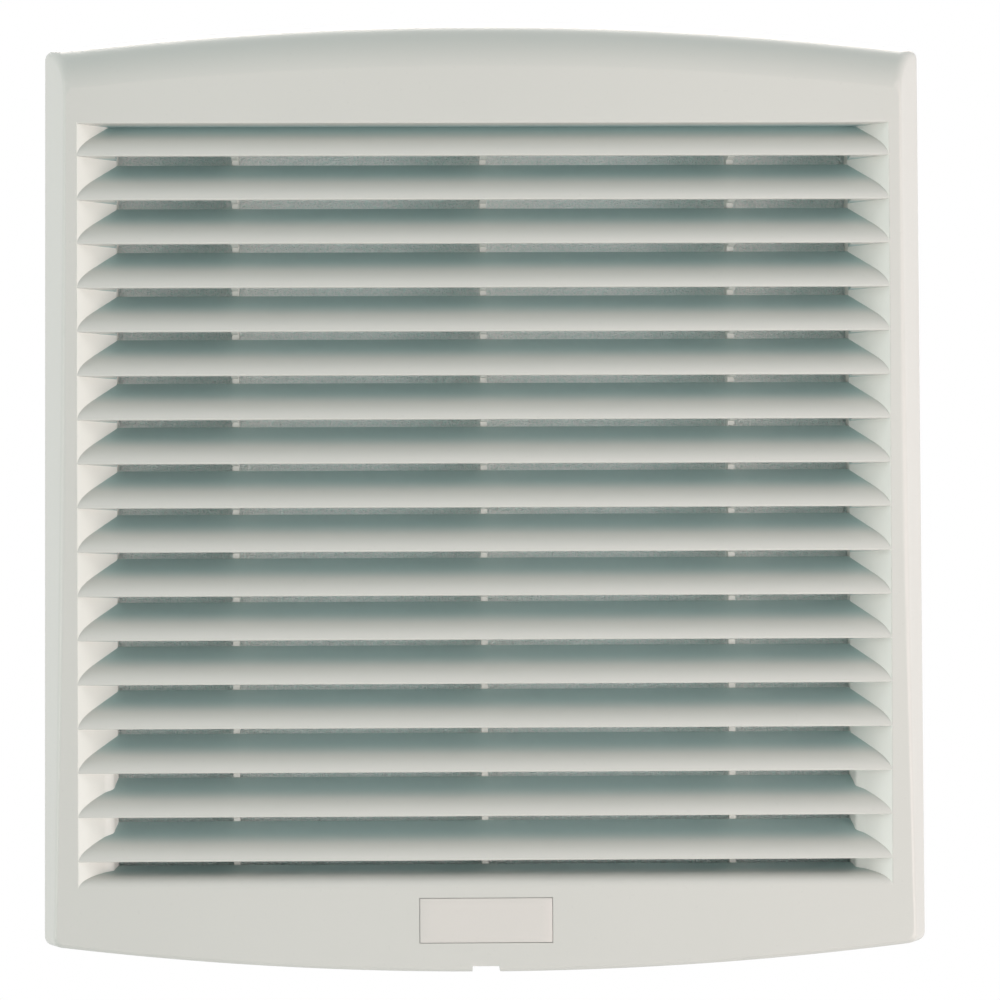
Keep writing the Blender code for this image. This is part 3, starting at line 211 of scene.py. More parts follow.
def maths(tree, operation, *values, clamp=False):
    made = add(tree, "Math", {"operation": operation, "use_clamp": clamp})
    for socket, value in zip(made.inputs, values):
        connect(tree, socket, value)
    return made.outputs[0]


def blend_colours(tree, share, first, second):
    made = add(tree, "Mix", {"data_type": "RGBA"})
    for number, value in ((0, share), (6, first), (7, second)):
        connect(tree, made.inputs[number], value)
    return made.outputs[2]


def spread(tree, value, low, high, to_low=0.0, to_high=1.0):
    """Maps values between low and high to a new range, held at its ends."""
    made = add(tree, "MapRange", Value=value, From_Min=low, From_Max=high, To_Min=to_low, To_Max=to_high)
    return made.outputs[0]


def noise(tree, where, scale, detail, rough=0.5):
    return add(tree, "TexNoise", Vector=where, Scale=scale, Detail=detail, Roughness=rough).outputs["Fac"]


def group(name, inputs, outputs):
    """An empty node group with named sockets, and its input and output nodes."""
    tree = bpy.data.node_groups.new(name, "ShaderNodeTree")
    for label, kind, value in inputs:
        socket = tree.interface.new_socket(label, in_out="INPUT", socket_type="NodeSocket" + kind)
        if value is not None:
            socket.default_value = value
    for label, kind in outputs:
        tree.interface.new_socket(label, in_out="OUTPUT", socket_type="NodeSocket" + kind)
    return tree, tree.nodes.new("NodeGroupInput"), tree.nodes.new("NodeGroupOutput")


def use(tree, made_group, **sockets):
    """Places a group in a material and fills its inputs."""
    made = tree.nodes.new("ShaderNodeGroup")
    made.node_tree = made_group
    for name, value in sockets.items():
        connect(tree, made.inputs[name.replace("_", " ")], value)
    return made


def material(name, **shader_values):
    """A new material, its tree, its Principled shader and its Object coordinates."""
    made = bpy.data.materials.new(name)
    made.use_nodes = True
    tree = made.node_tree
    shader = tree.nodes["Principled BSDF"]
    for label, value in shader_values.items():
        connect(tree, shader.inputs[label.replace("_", " ")], value)
    where = tree.nodes.new("ShaderNodeTexCoord").outputs["Object"]
    return made, tree, shader, where


def bump(tree, shader, height, distance):
    made = add(tree, "Bump", Height=height, Distance=distance)
    tree.links.new(made.outputs[0], shader.inputs["Normal"])


# %% [markdown]
# ## Two effects that many finishes share
#
# Moulded plastic and painted metal both have a fine grain that is the print of the tool, and a slow
# change of tone where the melt or the paint ran thicker. One node group gives both, with the size of
# each as inputs. A second group scatters dust and fine scratches, which break up the gloss.

# %% Node groups
def make_grain():
    """Grain: fine noise for the height, and a slow noise for the tone."""
    tree, given, result = group("tool_grain", [("Vector", "Vector", None), ("Grain Size", "Float", 0.25),
                                               ("Cloud Size", "Float", 60.0)],
                                [("Height", "Float"), ("Cloud", "Float")])
    fine_scale = maths(tree, "DIVIDE", 1000.0, given.outputs["Grain Size"])
    cloud_scale = maths(tree, "DIVIDE", 1000.0, given.outputs["Cloud Size"])
    fine = noise(tree, given.outputs["Vector"], fine_scale, 2.0, 0.6)
    cloud = noise(tree, given.outputs["Vector"], cloud_scale, 3.0, 0.45)
    connect(tree, result.inputs["Height"], fine)
    connect(tree, result.inputs["Cloud"], cloud)
    return tree


def make_marks():
    """Marks: a stretched noise cut to thin lines for scratches, and specks where a fine noise peaks."""
    tree, given, result = group("handling_marks", [("Vector", "Vector", None), ("Length", "Float", 12.0)],
                                [("Scratches", "Float"), ("Specks", "Float")])
    scale = maths(tree, "DIVIDE", 1000.0, given.outputs["Length"])
    turned_grid = add(tree, "Mapping", Vector=given.outputs["Vector"], Rotation=(0.4, 0.9, 0.3),
                      Scale=(1.0, 1.0, 14.0))
    lines = noise(tree, turned_grid.outputs[0], scale, 2.0, 0.5)
    middle = maths(tree, "ABSOLUTE", maths(tree, "SUBTRACT", lines, 0.5))
    connect(tree, result.inputs["Scratches"], spread(tree, middle, 0.0, 0.012, 1.0, 0.0))
    specks = noise(tree, given.outputs["Vector"], 900.0, 1.0)
    connect(tree, result.inputs["Specks"], spread(tree, specks, 0.7, 0.78))
    return tree


GRAIN = make_grain()
MARKS = make_marks()
print("node groups:", GRAIN.name, MARKS.name)


# %% [markdown]
# ## The cover's form
#
# The cover is thick at the head and thin at the foot. Seen from the front its head and foot are two
# large arcs and its sides are straight, with small round corners. The sides lean in as one flat bevel,
# the head rolls over in an ellipse, and the foot has a small quarter round. A cube with bevels could
# not give the ellipse, so the outline is a formula of the height above the rim, and columns of points
# run round it.

# %% Sizes of the cover
COVER_WIDTH = 248.0
COVER_HEIGHT = 268.0
HEAD_ARC = 1000.0
FOOT_ARC = 975.0
CORNER_RADIUS = 2.6
WALL = 2.2
COVER_REAR = -4.8
RIM = FRONT_PLANE
FACE_HEIGHT = 14.85
FACE_RISE = 4.5
FACE_CROWN = 1.8
SIDE_BEVEL = 0.378
HEAD_ROLL = 14.0
HEAD_DRAFT = 0.1
FOOT_ROLL = 0.9
EDGE_ROUND = 1.4
OPENING_TOP = 103.7
OPENING_BOTTOM = -110.5
OPENING_HALF = 113.9
PLATE_HALF = 18.7
PLATE_LOW = -126.05
PLATE_HIGH = -113.35
PLATE_DEPTH = 0.8
NOTCH_HALF = 3.9
NOTCH_DEPTH = 1.5
STEP = 0.04


def face_height(z):
    """Height of the face above the rim: a constant, plus a rise with z, less a crown with z squared."""
    share = z / (COVER_HEIGHT / 2)
    return FACE_HEIGHT + FACE_RISE * share - FACE_CROWN * share * share


def face_y(z):
    return RIM - face_height(z)


def head_inset(height):
    """The head leans in with the height and rolls over as a quarter of an ellipse."""
    share = np.clip(height / face_height(COVER_HEIGHT / 2), 0.0, 1.0)
    return HEAD_DRAFT * height + HEAD_ROLL * (1 - np.sqrt(1 - share ** 2))


def foot_inset(height):
    """The foot stands straight and ends in a quarter round."""
    below = face_height(-COVER_HEIGHT / 2) - FOOT_ROLL
    share = np.clip((height - below) / FOOT_ROLL, 0.0, 1.0)
    return FOOT_ROLL * (1 - np.sqrt(1 - share ** 2))


# %% [markdown]
# ## Plastics
#
# The cover is a warm light grey polymer with the even, dry print of a spark-eroded mould. It could be
# one flat colour, but then a large face looks like paper: a slow tone change of one or two per cent
# and a grain of a quarter of a millimetre make it read as moulded. Deep between the slats the colour
# turns to a dark grey-green with the depth behind the face: this is painted shade, where the slots lie
# in shadow. The frame uses the same idea with less grain, and the black nylon is a little glossier.

# %% Plastic materials
# The mask of the painted shade in the slots: it grows with the depth behind the cover's face.
def depth_share(tree, where, low=2.5, high=8.5):
    """From 0 to 1 between two depths behind the cover's face, whose height rises and falls with z."""
    place = add(tree, "SeparateXYZ", Vector=where).outputs
    share = maths(tree, "DIVIDE", place["Z"], COVER_HEIGHT / 2 * MM)
    crown = maths(tree, "MULTIPLY", maths(tree, "MULTIPLY", share, share), FACE_CROWN)
    height = maths(tree, "SUBTRACT", maths(tree, "MULTIPLY_ADD", share, FACE_RISE, FACE_HEIGHT), crown)
    depth = maths(tree, "ADD", maths(tree, "MULTIPLY_ADD", place["Y"], 1 / MM, -RIM), height)
    return add(tree, "MapRange", {"interpolation_type": "SMOOTHSTEP"}, Value=depth, From_Min=low,
               From_Max=high).outputs[0]


def two_tones(tree, cloud, colour, swing):
    """A colour that swings darker and lighter by a share, as the slow noise does."""
    dark, light = ([min(c * (1 + turn), 1.0) for c in colour] + [1.0] for turn in (-swing, swing))
    return blend_colours(tree, spread(tree, cloud, 0.3, 0.7), dark, light)


def plastic(name, colour, roughness, grain, grain_height, tone, cloud, painted_shade_colour=None):
    """Colour with a slow tone and specks, painted shade where it is deep, and the grain as gloss and height."""
    made, tree, shader, where = material(name)
    print_of_tool = use(tree, GRAIN, Vector=where, Grain_Size=grain, Cloud_Size=cloud)
    marks = use(tree, MARKS, Vector=where, Length=30.0)
    tinted = two_tones(tree, print_of_tool.outputs["Cloud"], colour, tone)
    # Painted shade: deep behind the face the colour turns to the dark grey-green given.
    if painted_shade_colour:
        tinted = blend_colours(tree, depth_share(tree, where), tinted, list(painted_shade_colour) + [1.0])
    speckled = blend_colours(tree, maths(tree, "MULTIPLY", marks.outputs["Specks"], 0.10), tinted,
                             [c * 0.7 for c in colour] + [1.0])
    connect(tree, shader.inputs["Base Color"], speckled)
    rough = maths(tree, "ADD", roughness, maths(tree, "MULTIPLY", print_of_tool.outputs["Height"], 0.12))
    rough = maths(tree, "SUBTRACT", rough, maths(tree, "MULTIPLY", marks.outputs["Scratches"], 0.05))
    connect(tree, shader.inputs["Roughness"], rough)
    bump(tree, shader, print_of_tool.outputs["Height"], grain_height * MM)
    return made


COVER_GREY = (0.61, 0.603, 0.568)
cover_plastic = plastic("cover_plastic", COVER_GREY, 0.32, 0.28, 0.012, 0.012, 90.0)
# The slats' plastic carries painted shade: dark grey-green deep between the slats.
slat_plastic = plastic("slat_plastic", COVER_GREY, 0.34, 0.28, 0.012, 0.012, 90.0, (0.44, 0.565, 0.555))
frame_plastic = plastic("frame_plastic", (0.55, 0.54, 0.50), 0.45, 0.4, 0.02, 0.03, 50.0)
black_nylon = plastic("black_nylon", (0.035, 0.035, 0.037), 0.38, 0.3, 0.015, 0.15, 20.0)
# Painted light: a copy of the cover's plastic, painted lighter than the cover, for the cheeks and ribs.
plastic_painted_lighter = plastic("plastic_painted_lighter", (0.74, 0.745, 0.70), 0.38, 0.2, 0.006, 0.01, 60.0)
plate_plastic = plastic("plate_plastic", (0.645, 0.617, 0.583), 0.5, 0.2, 0.006, 0.01, 30.0)


# %% [markdown]
# ## Columns round the outline
#
# Each column is a place on the outline: on a corner, on an arc or on a side. The foot's arc has extra
# columns at both edges of the plate and of the small notch, in pairs four hundredths of a
# millimetre apart, so that a step can stand between them.

# %% Columns of the cover's surface
CORNER_STEPS = 7
ARC_STEPS = 60
SIDE_STEPS = 60
ARC_HALF = 118.0


def foot_shares():
    """Places along the foot's arc from -1 to 1, with pairs at the edges of the plate and the notch."""
    marks = np.array([NOTCH_HALF - STEP, NOTCH_HALF, PLATE_HALF - STEP, PLATE_HALF]) / ARC_HALF
    outer = np.linspace(marks[3], 1.0, 26)[1:]
    inner = np.linspace(marks[1], marks[2], 7)[1:-1]
    half = np.concatenate([[0.0], marks[:2], inner, marks[2:], outer])
    return np.concatenate([-half[:0:-1], half])


def outline_columns():
    """Kind, share, and sign in x and z of each column, counter-clockwise from the upper right corner."""
    corner = np.arange(CORNER_STEPS) / CORNER_STEPS
    back = 1 - (np.arange(CORNER_STEPS) + 1) / CORNER_STEPS
    side = (np.arange(SIDE_STEPS) + 1) / (SIDE_STEPS + 1)
    foot = foot_shares()
    sections = [("corner", corner, 1, 1), ("arc", np.linspace(1, -1, ARC_STEPS + 1), 1, 1),
                ("corner", back, -1, 1), ("side", side, -1, 1), ("corner", corner, -1, -1),
                ("arc", foot, 1, -1), ("corner", back, 1, -1), ("side", side[::-1], 1, 1)]
    kind = np.concatenate([[name] * len(share) for name, share, _, _ in sections])
    share = np.concatenate([share for _, share, _, _ in sections])
    sign_x = np.concatenate([[sx] * len(share) for _, share, sx, _ in sections])
    sign_z = np.concatenate([[sz] * len(share) for _, share, _, sz in sections])
    return kind, share, sign_x, sign_z


KIND, SHARE, SIGN_X, SIGN_Z = outline_columns()


def along_arc(half):
    """x along an arc that ends at half: in proportion to the share near the middle, at every height alike."""
    return ARC_HALF * SHARE + (half - ARC_HALF) * SHARE ** 3


def edge_arc(radius, side, edge, corner):
    """Centre and corner circle of one large arc, and the angle at which corner and arc meet."""
    centre = COVER_HEIGHT / 2 - edge - radius
    corner_x = COVER_WIDTH / 2 - side - corner
    corner_z = centre + np.sqrt((radius - corner) ** 2 - corner_x ** 2)
    meet = np.arctan2(corner_z - centre, corner_x)
    return centre, corner_x, corner_z, meet


def outline(height, inset=0.0):
    """x and z of every column at a height, drawn in by the bevel, the head's roll and the foot's round."""
    corner = max(CORNER_RADIUS - inset, 1.0)
    side = inset + SIDE_BEVEL * height
    head = edge_arc(HEAD_ARC, side, inset + head_inset(height), corner)
    foot = edge_arc(FOOT_ARC, side, inset + foot_inset(height), corner)
    centre, corner_x, corner_z, meet = (np.where(SIGN_Z > 0, a, b) for a, b in zip(head, foot))
    arc_x = along_arc(corner_x + corner * np.cos(meet))
    radius = np.where(SIGN_Z > 0, HEAD_ARC, FOOT_ARC)
    arc_z = SIGN_Z * (centre + np.sqrt(radius ** 2 - arc_x ** 2))
    round_x = SIGN_X * (corner_x + corner * np.cos(SHARE * meet))
    round_z = SIGN_Z * (corner_z + corner * np.sin(SHARE * meet))
    side_x = SIGN_X * (corner_x + corner)
    side_z = head[2] + SHARE * (-foot[2] - head[2])
    x = np.select([KIND == "arc", KIND == "corner"], [arc_x, round_x], side_x)
    z = np.select([KIND == "arc", KIND == "corner"], [arc_z, round_z], side_z)
    return x, z


def height_at_face(inset=0.0):
    """The height at which each column reaches the face: repeat height = face height at the column's z."""
    height = np.full(len(KIND), FACE_HEIGHT)
    for _ in range(20):
        height = face_height(outline(height, inset)[1])
    return height


print("columns round the cover:", len(KIND))

# %% [markdown]
# ## The shell as one closed band
#
# The shell is made as a mould maker would cut it: up the outer side, over the rounded edge, across the
# face to the louvre opening, back under the wall and down the inner side to the rim. That is one closed
# band of rows round the whole outline. The face is crowned, so its depth is read from the same formula
# at each row. The recess of the plate and the notch at the foot are steps in the same grid.

# %% Build the shell
FACE_SHARES = [0.04, 0.1, 0.17, 0.2414, 0.2414, 0.34, 0.48, 0.62, 0.76, 0.861, 0.861, 0.93, 1.0]
PLATE_ROWS = (4, 9)
HEAD_EDGE = 0.45
SIDE_EDGE = 0.25


def opening_points(grow):
    """x, z and rounding radius on the louvre opening's edge, grown by a share of its own rounding."""
    head = SIGN_Z > 0
    on_arc = KIND == "arc"
    half = OPENING_HALF + grow * SIDE_EDGE
    top = OPENING_TOP + grow * HEAD_EDGE
    x = np.where(on_arc, along_arc(half), SIGN_X * half)
    z = np.where(KIND == "side", top + SHARE * (OPENING_BOTTOM - top), np.where(head, top, OPENING_BOTTOM))
    radius = np.select([on_arc & head, on_arc], [HEAD_EDGE, 0.0], SIDE_EDGE)
    return x, z, radius


def face_rows(edge_x, edge_z, steps=True):
    """Rows from the rounded edge to the opening, level with the plate's edges in the middle of the foot."""
    open_x, open_z, _ = opening_points(1.0 if steps else 0.0)
    share = np.array(FACE_SHARES)[:, None]
    x = edge_x + share * (open_x - edge_x)
    z = edge_z + share * (open_z - edge_z)
    knots = np.array([0.0, FACE_SHARES[3], FACE_SHARES[9], 1.0])
    foot = (KIND == "arc") & (SIGN_Z < 0)
    near = 1 - np.clip((np.abs(edge_x) - 24.0) / 40.0, 0.0, 1.0)
    near = np.where(foot, near * near * (3 - 2 * near), 0.0)
    middle_edge = edge_z[foot].min()
    level = np.interp(share[:, 0], knots, [middle_edge, PLATE_LOW, PLATE_HIGH, OPENING_BOTTOM])
    shift = np.array([0.0] * 4 + [STEP] + [0.0] * 4 + [-STEP] + [0.0] * 3) * (1.0 if steps else 0.0)
    level = (level + shift)[:, None]
    bow = np.where(np.abs(edge_x) > PLATE_HALF + 1.0, edge_z - middle_edge, 0.0) * (1 - share)
    z = z + near * (level + bow - z)
    return x, z


def edge_rows(full):
    """The rounded edge: a curve that leaves the side, aims at the edge and meets the face."""
    on_corner = EDGE_ROUND * (1 - SHARE ** 2)
    fillet = np.select([KIND == "side", KIND == "corner"], [EDGE_ROUND, np.maximum(on_corner, 0.02)], 0.02)
    turn = np.sin(np.linspace(0.0, 1.0, 15) * np.pi / 2)[:, None]
    heights = turn * (full - fillet)
    x, z = outline(heights)
    rows = [np.stack([x[0], np.full_like(x[0], COVER_REAR), z[0]], -1)]
    rows += list(np.stack([x, RIM - heights, z], -1))
    edge_x, edge_z = outline(full)
    corner = np.stack([edge_x, RIM - full, edge_z], -1)
    open_x, open_z, _ = opening_points(1.0)
    aim = np.stack([open_x - edge_x, open_z - edge_z], -1)
    aim /= np.linalg.norm(aim, axis=1, keepdims=True)
    end_x = edge_x + aim[:, 0] * fillet
    end_z = edge_z + aim[:, 1] * fillet
    end = np.stack([end_x, face_y(end_z), end_z], -1)
    first = rows[-1]
    rows += [(1 - t) ** 2 * first + 2 * t * (1 - t) * corner + t * t * end for t in (0.2, 0.4, 0.6, 0.8, 1.0)]
    return rows, end_x, end_z


def shell_grid():
    """All rows of the shell, from the rear outer edge round to the rear inner edge."""
    rows, end_x, end_z = edge_rows(height_at_face())
    x, z = face_rows(end_x, end_z)
    recess = (np.abs(x) < PLATE_HALF - STEP / 2) & (KIND == "arc") & (SIGN_Z < 0)
    recess[:PLATE_ROWS[0]] = False
    recess[PLATE_ROWS[1] + 1:] = False
    rows += list(np.stack([x, face_y(z) + PLATE_DEPTH * recess, z], -1))
    for turn in (0.3, 0.6, 0.85, 1.0):
        x, z, radius = opening_points(1 - np.sin(turn * np.pi / 2))
        rows.append(np.stack([x, face_y(z) + radius * (1 - np.cos(turn * np.pi / 2)), z], -1))
    inner_full = height_at_face(WALL)
    inner_x, inner_z = outline(inner_full, WALL)
    x, z = face_rows(inner_x, inner_z, steps=False)
    rows += list(np.stack([x, face_y(z) + WALL, z], -1)[::-2])
    turn = np.sin(np.linspace(1.0, 0.0, 12) * np.pi / 2)[:, None]
    land = RIM + WALL - COVER_REAR
    heights = land + turn * (inner_full - land)
    x, z = outline(heights, WALL)
    rows += list(np.stack([x, RIM + WALL - heights, z], -1))
    points = np.array(rows)
    notch = (np.abs(points[..., 0]) < NOTCH_HALF - STEP / 2) & (points[..., 2] < 0)
    floor = np.where(notch, NOTCH_DEPTH - COVER_HEIGHT / 2, -COVER_HEIGHT)
    points[..., 2] = np.maximum(points[..., 2], floor)
    return grid(points, loop=True)


piece("cover_shell", [shell_grid()], cover_plastic, "cover", ["front_cover"])


# %% [markdown]
# ## Slats
#
# A slat is a thin blade with a rounded nose and a slope that rises towards the mat, so that rain runs
# out and air goes in. Its section is one closed outline, carried from cheek to cheek. Near the cheeks
# the hollow under the blade is filled down to the level of the lip, which makes the small triangular
# underside that the photograph shows at both ends. The ends are cut by the sloping cheeks: at each
# depth behind the face the blade is narrower by nine tenths of that depth.

# %% Section of a slat
SLATS = 17
SIGHT_GAP = 1.3
SLAT_DEPTH = 11.6
SLAT_THICKNESS = 1.9
SLAT_NOSE = 2.7
NOSE_LENGTH = 4.5
LIP_ROUND = 0.3
HEAD_GAP = 9.2
SILL_GAP = 7.6
SILL_RISE = 6.3
CHEEK_SLOPE = 0.9
WINDOW_HALF = OPENING_HALF - CHEEK_SLOPE * SLAT_DEPTH
FIRST_LIP = OPENING_TOP - HEAD_GAP
LAST_LIP = OPENING_BOTTOM + SILL_GAP
PITCH = (FIRST_LIP - LAST_LIP) / (SLATS - 1)
SLAT_RISE = PITCH - SIGHT_GAP
BLOCK_REAR = -0.7


def slat_top(rise, steps=18):
    """Depth and height: a parabola with an upright start for the nose, then a straight slope."""
    t = np.linspace(0.0, 1.0, steps)
    slope = (rise - SLAT_NOSE) / SLAT_DEPTH
    depth = t * t * NOSE_LENGTH
    height = 2 * t * (1 - t) * SLAT_NOSE + t * t * (SLAT_NOSE + slope * NOSE_LENGTH)
    line = np.linspace(0.0, 1.0, 6)[1:, None]
    last = np.array([depth[-1], height[-1]])
    return np.concatenate([np.stack([depth, height], 1), last + line * (np.array([SLAT_DEPTH, rise]) - last)])


def slat_underside(top):
    """The top moved square to itself by the thickness, from where it leaves the lip's flat foot."""
    run = np.gradient(top, axis=0)
    run /= np.linalg.norm(run, axis=1, keepdims=True)
    under = top + SLAT_THICKNESS * np.stack([run[:, 1], -run[:, 0]], 1)
    under[:, 0] = np.minimum(under[:, 0], SLAT_DEPTH)
    return under[under[:, 1] > 0.2]


def slat_section(rise):
    """Closed section: the rounded lip, the flat foot, the underside, and the top from rear to front."""
    top = slat_top(rise)
    under = slat_underside(top)
    angle = np.linspace(np.pi, 1.5 * np.pi, 6)
    lip = LIP_ROUND + LIP_ROUND * np.stack([np.cos(angle), np.sin(angle)], 1)
    foot = np.array([[under[0, 0] - 0.15, 0.0]])
    back = top[top[:, 1] > LIP_ROUND * 1.3][::-1]
    return np.concatenate([lip, foot, under, back]), len(lip) + 1 + len(under)


def sill_grid():
    """The foot's face rolls straight over into the sill, so its section has no lip and no hollow."""
    top = slat_top(SILL_RISE)
    below = [[SLAT_DEPTH, SILL_RISE - SLAT_THICKNESS], [5.0, 1.2], [2.0, -0.8], [0.3, -0.6]]
    section = np.concatenate([top, below])
    cheek = OPENING_HALF - CHEEK_SLOPE * section[:, 0] + 0.25
    start = face_y(OPENING_BOTTOM)
    return grid([np.stack([side * cheek, start + section[:, 0], OPENING_BOTTOM + section[:, 1]], 1)
                 for side in (-1.0, 1.0)])


def slat_grid(lip, rise):
    """Columns from left to right: cheek, filled end, hollow middle, filled end, cheek."""
    section, lower = slat_section(rise)
    filled = section.copy()
    filled[:lower, 1] = np.where(np.arange(lower) < 6, section[:lower, 1], 0.0)
    cheek = OPENING_HALF - CHEEK_SLOPE * section[:, 0] + 0.25
    middle = np.full(len(section), WINDOW_HALF)
    rows = [(-cheek, filled), (-middle, filled), (-middle, section)]
    rows += [(np.full(len(section), x), section) for x in (-60.0, -20.0, 20.0, 60.0)]
    rows += [(middle, section), (middle, filled), (cheek, filled)]
    start = face_y(lip)
    return grid([np.stack([x, start + s[:, 0], lip + s[:, 1]], 1) for x, s in rows])


lip_levels = FIRST_LIP - PITCH * np.arange(SLATS)
piece("cover_slats", [slat_grid(lip, SLAT_RISE) for lip in lip_levels] + [sill_grid()],
      slat_plastic, "cover")


# %% [markdown]
# ## Cheeks, ribs and the collar behind the slats
#
# The slats end in two cheeks that slope inwards and then run straight back to the mat. Three upright
# ribs stiffen the grille: they fill the space under each blade and stand as a thin wall behind it. Each
# is a profile carried upwards along the crowned face, so its front follows the slats.

# %% Build the cheeks and ribs
CHEEK_WALL = 2.0
PAD_TOP = LAST_LIP + 2 * PITCH + 0.4
PAD_PROFILE = [(0.0, 0.0), (2.2, 0.62), (3.8, 0.9), (6.5, 1.35), (7.5, 2.45), (8.2, 2.3), (9.5, 1.3),
               (11.6, 0.0)]
RIB_WALL = SLAT_DEPTH + 0.8
RIB_THICKNESS = 1.8
RIB_PLACES = (-70.0, 0.0, 70.0)


def upright(profile, low, high, steps=40):
    """A profile of (x, depth behind the face) carried upwards; a depth of None ends at the collar's rear."""
    z = np.linspace(low, high, steps)
    rows = []
    for x, depth in profile:
        y = np.full(steps, BLOCK_REAR) if depth is None else face_y(z) + depth
        rows.append(np.stack([np.full(steps, x), y, z], 1))
    return grid(np.array(rows).transpose(1, 0, 2))


def pad_swell(depth):
    """How far the pad beside the lowest slots stands proud, with its corners worn soft by a running mean."""
    fine = np.linspace(-1.0, SLAT_DEPTH + 1.0, 200)
    plain = np.interp(fine, *np.transpose(PAD_PROFILE))
    window = np.ones(9) / 9
    return np.interp(depth, fine, np.convolve(plain, window, "same"))


def cheek_grid(side, low, high, swell):
    depth = np.linspace(0.0, SLAT_DEPTH, 30)
    proud = swell * pad_swell(depth) * (depth > 0.3)
    front = list(zip(OPENING_HALF - CHEEK_SLOPE * depth - proud, depth))
    back = [(WINDOW_HALF, None), (WINDOW_HALF + CHEEK_WALL, None),
            (WINDOW_HALF + CHEEK_WALL, SLAT_DEPTH), (OPENING_HALF + 0.8, 1.2)]
    return upright([(side * x, d) for x, d in front + back], low, high)


def rib_grids():
    """The wall behind the slats, and a web under each blade from its foot to the rear."""
    half = RIB_THICKNESS / 2
    section, lower = slat_section(SLAT_RISE)
    rear = [[RIB_WALL + 0.3, section[lower - 1, 1]], [RIB_WALL + 0.3, 0.6], [SLAT_DEPTH - 1.0, 0.0]]
    web = np.concatenate([section[6:lower], rear])
    grids = []
    for x in RIB_PLACES:
        wall = [(x - half, RIB_WALL), (x - half, None), (x + half, None), (x + half, RIB_WALL)]
        grids.append(upright(wall, OPENING_BOTTOM + SILL_RISE - 1.0, OPENING_TOP))
        for lip in lip_levels:
            place = web + [face_y(lip), lip]
            grids.append(prism(place, x - half, x + half, 0))
    return grids


def collar_walls():
    """The ceiling over the first slot and the floor behind the sill, as prisms along X."""
    ceiling = OPENING_TOP + 0.01
    start = face_y(OPENING_TOP) + WALL - 0.2
    top = [(start, ceiling), (BLOCK_REAR, ceiling), (BLOCK_REAR, OPENING_TOP + CHEEK_WALL),
           (start, OPENING_TOP + CHEEK_WALL)]
    sill = OPENING_BOTTOM + SILL_RISE
    floor = [(face_y(sill) + SLAT_DEPTH - 1.0, sill - 2.0), (BLOCK_REAR, sill - 2.0), (BLOCK_REAR, sill - 0.9),
             (face_y(sill) + SLAT_DEPTH - 1.0, sill - 0.9)]
    return [prism(top, -OPENING_HALF, OPENING_HALF, 0), prism(floor, -WINDOW_HALF, WINDOW_HALF, 0)]


def cheek_grids():
    low = OPENING_BOTTOM - CHEEK_WALL
    high = OPENING_TOP + CHEEK_WALL
    return [cheek_grid(side, *span) for side in (-1, 1) for span in ((low, PAD_TOP, 1.0), (PAD_TOP, high, 0.0))]


# The cheeks and ribs get the plastic painted lighter, which is painted light.
piece("cover_cheeks", cheek_grids(), plastic_painted_lighter, "cover")
piece("cover_ribs", rib_grids(), plastic_painted_lighter, "cover")
# The collar takes the slats' plastic, with its painted shade in depth.
piece("cover_collar", collar_walls(), slat_plastic, "cover")


# %% [markdown]
# ## The plate at the foot
#
# A thin plain plate sits in the recess at the foot. The fine dark line round it is the gap between
# plate and recess, so the plate is a separate piece, a little smaller than its recess.

# %% Build the plate
PLATE_PLAY = 0.17


def plate_grid():
    """A flat sheet that follows the face, with its border turned down into the recess."""
    half = PLATE_HALF - PLATE_PLAY
    low = PLATE_LOW + PLATE_PLAY
    high = PLATE_HIGH - PLATE_PLAY
    soft = 0.12
    x = np.concatenate([[-half, -half], np.linspace(-half + soft, half - soft, 12), [half, half]])
    z = np.concatenate([[low, low], np.linspace(low + soft, high - soft, 8), [high, high]])
    xs, zs = np.meshgrid(x, z)
    border = np.ones_like(xs, bool)
    border[1:-1, 1:-1] = False
    edge = np.ones_like(xs, bool)
    edge[2:-2, 2:-2] = False
    y = face_y(zs) + 0.03 + np.where(edge, 0.06, 0.0) + np.where(border, PLATE_DEPTH - 0.2, 0.0)
    front = np.stack([xs, y, zs], -1)
    back = front.copy()
    back[..., 1] = face_y(zs) + PLATE_DEPTH - 0.11
    return [grid(front, around=False, caps=False), grid(back, around=False, caps=False)]


piece("bare_plate", plate_grid(), plate_plastic, "cover", ["blank_plate"])

# %% [markdown]
# ## The filter mat
#
# Behind the slats lies a fleece of loose fibres, 17 mm thick, that takes the dust out of the air. It is
# soft, so it fills its tray with rounded edges and never lies quite flat. Cloth simulation would only
# blur it: it is held on all sides and carries no load. Its finish is two layers of stretched noise
# laid crosswise, like fibres, with coarser clumps and a few thin places.

# %% Fleece material
FLEECE_LIGHT = (0.98, 1.0, 0.99, 1.0)
FLEECE_DARK = (0.84, 0.95, 0.92, 1.0)


